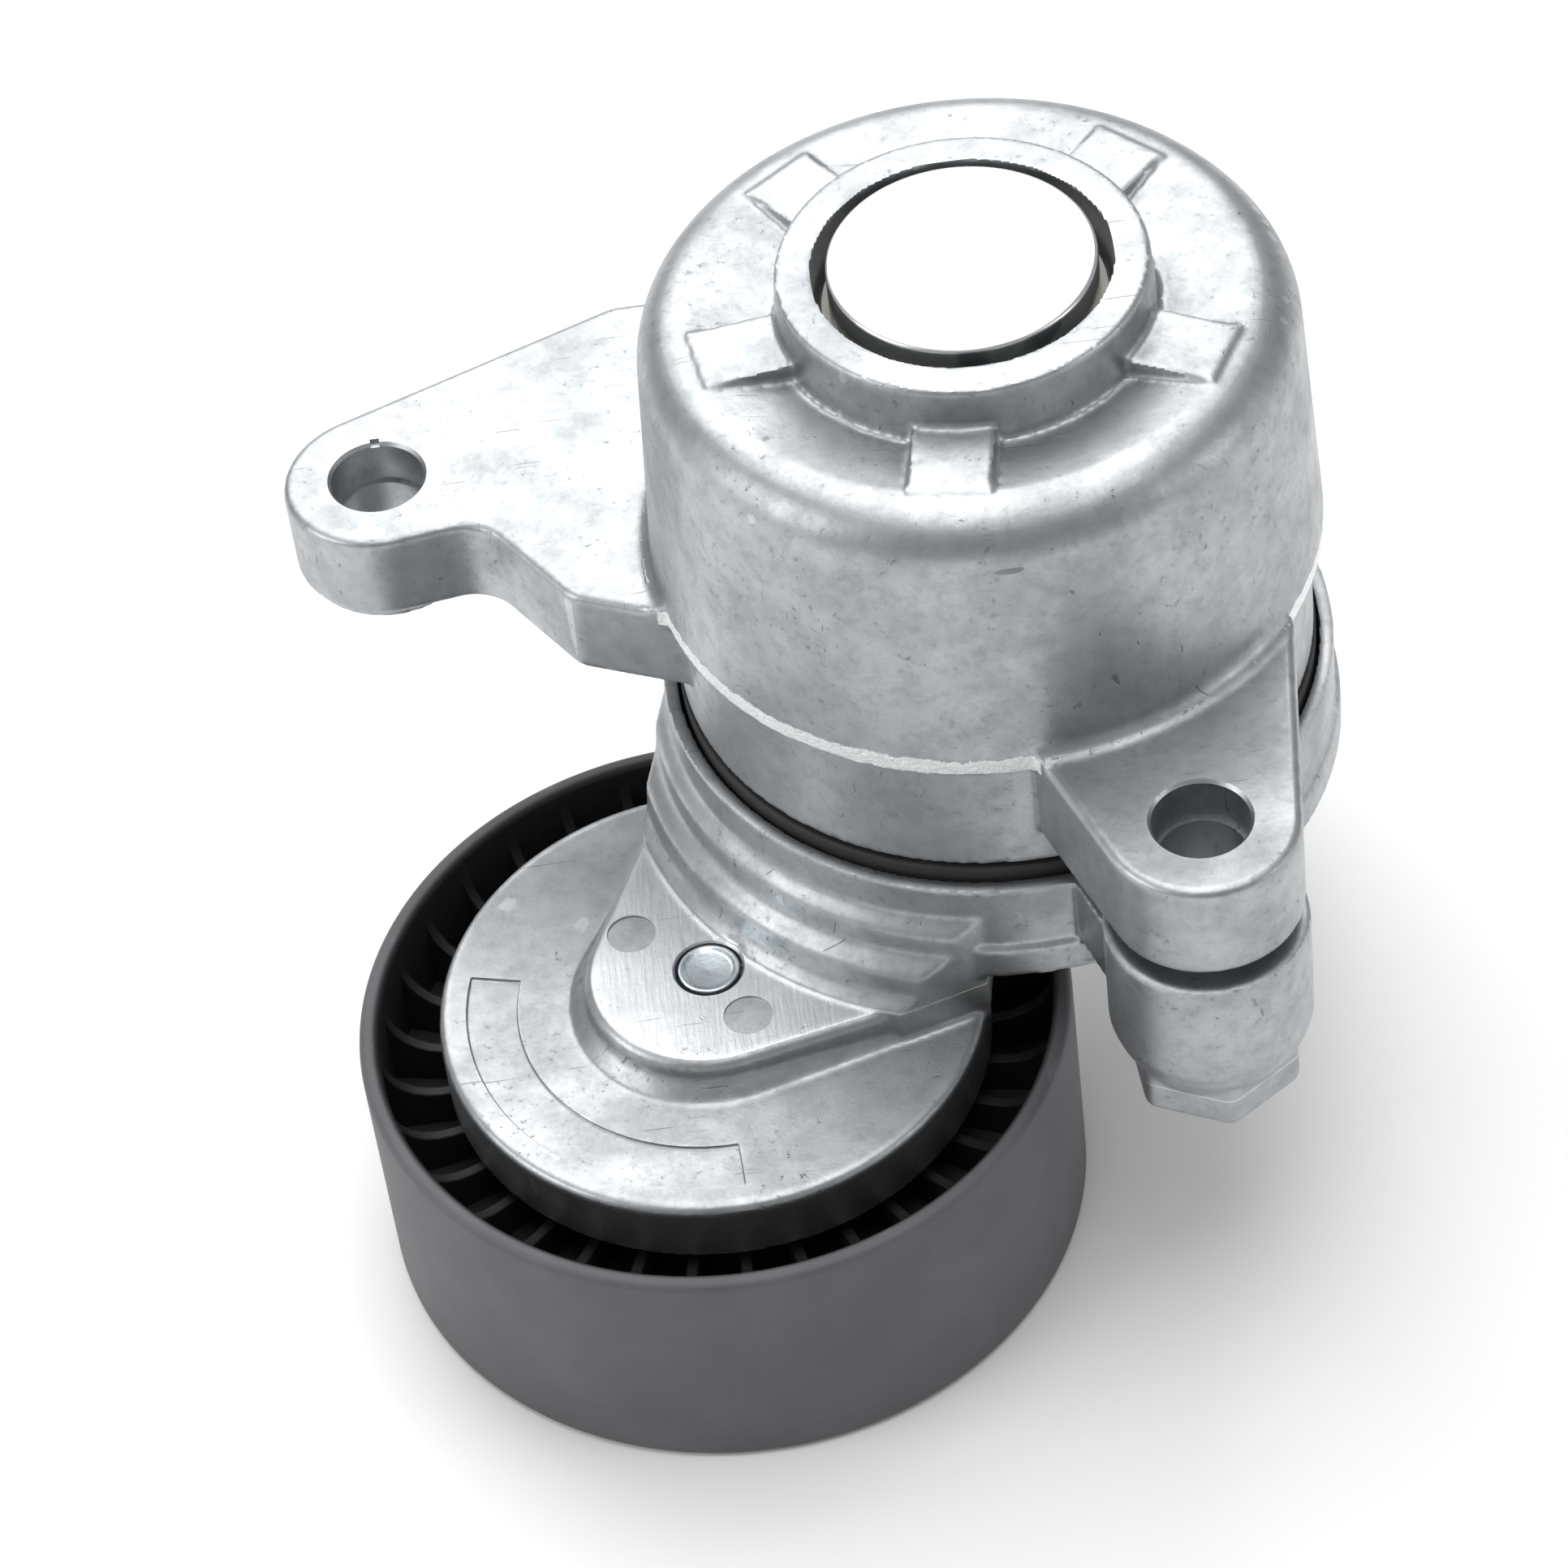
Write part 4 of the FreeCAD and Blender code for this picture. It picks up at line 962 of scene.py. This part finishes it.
@dataclass
class PulleyBolt:
    """The flanged M8 bolt; its dimpled end shows in the plateau."""

    tip: float = -30.9
    seat: float = -56.3
    radius: float = 4.0
    tip_radius: float = 3.0
    flats: float = 13.0
    head: float = 4.6
    flange_radius: float = 8.6
    flange: float = 1.4

    def build(self, skin: bpy.types.Material) -> None:
        """Model and dress the bolt.

        Args:
            skin: The plated finish.
        """
        shank = turned("plated_pulley_bolt", rounded([
            (0, self.tip - 0.35, 0), (2.3, self.tip - 0.25, 0.8), (2.7, self.tip, 0.2),
            (self.tip_radius, self.tip, 0.15), (self.tip_radius + 0.1, self.tip - 1.9, 0),
            (self.radius, self.tip - 2.1, 0), (self.radius, self.seat, 0), (self.flange_radius, self.seat, 0),
            (self.flange_radius, self.seat - 0.5, 0.15), (self.flange_radius - 2, self.seat - self.flange, 0.3),
            (0, self.seat - self.flange, 0)]), PULLEY_AXIS, 96)
        deselect()
        low = self.seat - self.head
        bpy.ops.mesh.primitive_cylinder_add(
            vertices=6, radius=self.flats / math.sqrt(3) * MM, depth=(self.head - 1) * MM,
            location=(PULLEY_X * MM, PULLEY_Y * MM, (low + (self.head - 1) / 2) * MM))
        head = bpy.context.object
        head.name = "bolt_head"
        settle(head)
        crown = turned("crown", [
            (0, low - 1), (self.flats / 2 - 1, low - 1), (self.flats / 2 + 1.9, low + 1.9),
            (self.flats / 2 + 1.9, self.seat + 1), (0, self.seat + 1)], PULLEY_AXIS, 64)
        apply_modifier(head, "BOOLEAN", operation="INTERSECT", object=crown, solver="EXACT")
        bpy.data.objects.remove(crown)
        apply_modifier(head, "BEVEL", width=0.2 * MM, segments=2, limit_method="ANGLE",
                       angle_limit=math.radians(25))
        select_only(head)
        bpy.ops.object.shade_smooth_by_angle(angle=math.radians(30))
        bolt = join([shank, head], "plated_pulley_bolt")
        finish_piece(bolt, Body.ARM, "zinc_plated_steel", skin, "pulley_bolt")


@dataclass
class DustShield:
    """The dished washer under the bolt's head."""

    seat: float = -55.5
    thickness: float = 0.8
    step: float = 1.2
    bore: float = 4.0
    radius: float = 21.0

    def build(self, skin: bpy.types.Material) -> None:
        """Model and dress the shield.

        Args:
            skin: The plated finish.
        """
        low = self.seat - self.step
        shield = turned("pressed_dust_shield", rounded([
            (self.bore, self.seat, 0), (10.4, self.seat, 0.5), (12.0, low, 0.5), (self.radius, low, 0.3),
            (self.radius, low - self.thickness, 0.3), (11.6, low - self.thickness, 0.5),
            (10.0, self.seat - self.thickness, 0.5), (self.bore, self.seat - self.thickness, 0)]), PULLEY_AXIS)
        finish_piece(shield, Body.ARM, "zinc_plated_steel", skin, "front_dust_shield")


@dataclass
class RivetWasher:
    """The plain washer that the pin's tail is closed over."""

    top: float = -29.4
    thickness: float = 1.2
    bore: float = 6.0
    radius: float = 11.0

    def build(self, skin: bpy.types.Material) -> None:
        """Model and dress the washer.

        Args:
            skin: The plated finish.
        """
        low = self.top - self.thickness
        washer = turned("plated_rivet_washer", rounded([
            (self.radius, low, 0.3), (self.radius, self.top, 0), (self.bore, self.top, 0), (self.bore, low, 0)]),
            (0, 0), 96)
        finish_piece(washer, Body.ARM, "zinc_plated_steel", skin, "rivet_washer")


@dataclass
class FrictionRing:
    """The black damping ring whose flange shows between the case and the arm."""

    flange: float = 31.3
    sleeve: float = 27.6
    wall: float = 1.6
    top: float = -16.2
    sleeve_top: float = -7.0
    floor: float = -25.4

    def build(self, skin: bpy.types.Material) -> None:
        """Model and dress the ring.

        Args:
            skin: The moulded finish.
        """
        ring = turned("moulded_friction_ring", rounded([
            (self.sleeve - self.wall, self.floor, 0), (self.flange, self.floor, 0),
            (self.flange, self.top, 0.35), (self.sleeve, self.top, 0.2), (self.sleeve, self.sleeve_top, 0.3),
            (self.sleeve - self.wall, self.sleeve_top, 0.3)]))
        finish_piece(ring, Body.ARM, "black_polyamide", skin, "damping_ring")


@dataclass
class Studio:
    """The floor, the lights and the camera."""

    camera_place: tuple[float, float, float] = (-22.58, -396.93, 396.12)
    camera_tilt: float = 47.31
    camera_roll: float = -7.65
    lens_mm: float = 133.9
    sensor_mm: float = 36.0
    floor_size: float = 3.0
    room: float = 0.38
    softboxes: tuple[tuple[str, tuple[float, float, float], float, float], ...] = (
        ("back_top", (-0.1, 0.62, 0.72), 1.0, 8.5), ("overhead", (0.05, -0.1, 1.1), 0.8, 5.0),
        ("left_side", (-0.9, -0.25, 0.45), 0.6, 3.5), ("right_side", (0.9, -0.3, 0.3), 0.35, 1.2))

    def floor(self) -> None:
        """Lay the pale floor just under the pulley."""
        deselect()
        bpy.ops.mesh.primitive_plane_add(size=self.floor_size, location=(0, 0, CAD_BOX[0][2] - 0.2 * MM))
        floor = bpy.context.object
        floor.name = "studio_floor"
        make = Recipe("pale_floor")
        make.wire(Base_Color=linear("f6f6f6"), Roughness=0.9)
        floor.data.materials.append(make.material)

    def softbox(self, name: str, place: tuple[float, float, float], size: float, power: float) -> None:
        """Hang one square area light that looks at the part.

        Args:
            name: The light's name.
            place: Where it hangs, in metres.
            size: Its side in metres.
            power: Its power in watts.
        """
        light = bpy.data.lights.new(name, "AREA")
        light.size = size
        light.energy = power
        lamp = bpy.data.objects.new(name, light)
        lamp.location = place
        lamp.rotation_euler = (-Vector(place)).to_track_quat("-Z", "Y").to_euler()
        bpy.context.scene.collection.objects.link(lamp)

    def lights(self) -> None:
        """Light the set with a big softbox behind and above, a dim room and two small fills."""
        world = bpy.data.worlds.new("studio_world")
        world.use_nodes = True
        world.node_tree.nodes["Background"].inputs["Color"].default_value = linear("ffffff")
        world.node_tree.nodes["Background"].inputs["Strength"].default_value = self.room
        bpy.context.scene.world = world
        bpy.context.scene.view_settings.view_transform = "Standard"
        for name, place, size, power in self.softboxes:
            self.softbox(name, place, size, power)

    def camera(self) -> None:
        """Place the camera."""
        tilt, roll = math.radians(self.camera_tilt), math.radians(self.camera_roll)
        ahead = Vector((0, math.cos(tilt), -math.sin(tilt)))
        right, up = Vector((1, 0, 0)), Vector((0, math.sin(tilt), math.cos(tilt)))
        side = right * math.cos(roll) + up * math.sin(roll)
        top = up * math.cos(roll) - right * math.sin(roll)
        lens = bpy.data.cameras.new("camera")
        lens.lens = self.lens_mm
        lens.sensor_width = self.sensor_mm
        lens.clip_start = 0.01
        camera = bpy.data.objects.new("camera", lens)
        turn = Matrix((side, top, -ahead)).transposed().to_4x4()
        camera.matrix_world = Matrix.Translation(Vector(self.camera_place) * MM) @ turn
        bpy.context.scene.collection.objects.link(camera)
        bpy.context.scene.camera = camera

    def build(self) -> None:
        """Set up the studio."""
        self.floor()
        self.lights()
        self.camera()


def main() -> None:
    """Build every piece in order."""
    logging.basicConfig(level=logging.INFO, format="%(name)s %(message)s")
    Studio().build()

    # die-cast aluminium, tumbled: satin grey with soft clouds, bright torn flash below the ridge
    case_cast = CastAluminium("die_cast_aluminium", flash=(-1.8, 0.1, 31.3, 33.2)).material()
    # the same casting with one milled face: fine streaks on the plateau
    arm_cast = CastAluminium("milled_cast_aluminium", milled=-30.9).material()
    # faced steel: nearly white, with faint curved tool tracks
    faced = TurnedSteel("turned_steel").material()
    # zinc-plated steel: bluish and bright
    plated = PlatedSteel("zinc_plated_steel").material()
    # glass-filled polyamide: satin dark grey tread, with a painted shade that makes it nearly black inside the rim
    moulded = MouldedPlastic("glass_filled_polyamide", inside=(*PULLEY_AXIS, 33.6)).material()
    # friction polyamide: black with a coarse dull grain
    black = MouldedPlastic("friction_polyamide", colour="1c1c1e", scuffed="3a3a3c", roughness=0.6,
                           grain_mm=0.5, grain_depth=0.06).material()
    SpringCase().build(case_cast)
    SwingArm().build(arm_cast)
    PivotPin().build(faced)
    Pulley().build(moulded)
    PulleyBolt().build(plated)
    DustShield().build(plated)
    RivetWasher().build(plated)
    FrictionRing().build(black)

    # pale acetal washer: a dull warm grey under the pin's head
    washer = MouldedPlastic("washer_acetal", colour="b4b1a8", scuffed="cac7be", roughness=0.45).material()
    # ground bearing steel: smooth, cooler than the castings
    ground = TurnedSteel("ground_bearing_steel", colour="c6c8ca", depth_mm=0.002, centre=PULLEY_AXIS).material()
    # nitrile rubber: dead black
    rubber = MouldedPlastic("nitrile_seal_rubber", colour="161616", scuffed="262626", roughness=0.7).material()
    # brown cage polyamide
    brown = MouldedPlastic("cage_polyamide", colour="8a5a30", scuffed="a87a4c").material()
    # white acetal pads under the spring's ends
    white = MouldedPlastic("white_acetal", colour="dcdad2", scuffed="efeee8", roughness=0.4).material()
    # sintered bronze bushes: warm, dull
    bronze = TurnedSteel("sintered_bronze", colour="b08a54", track="8f6c3e", roughness=0.35).material()
    # oil-tempered spring steel: dark blue-grey
    tempered = PlatedSteel("oil_tempered_spring_steel", colour="4a4b4e", cloud="3b3d42", roughness=0.4).material()
    dress_nodes(black, "lower_thrust_washer")
    dress_nodes(washer, "head_thrust_washer")
    dress_nodes(ground, "bearing_inner_ring", "bearing_outer_ring", "bearing_balls")
    dress_nodes(rubber, "bearing_seal_upper", "bearing_seal_lower")
    dress_nodes(brown, "bearing_cage")
    dress_nodes(white, "upper_spring_pad", "lower_spring_pad")
    dress_nodes(bronze, "upper_bush", "lower_bush")
    dress_nodes(tempered, "torsion_spring")


if __name__ == "__main__":
    main()
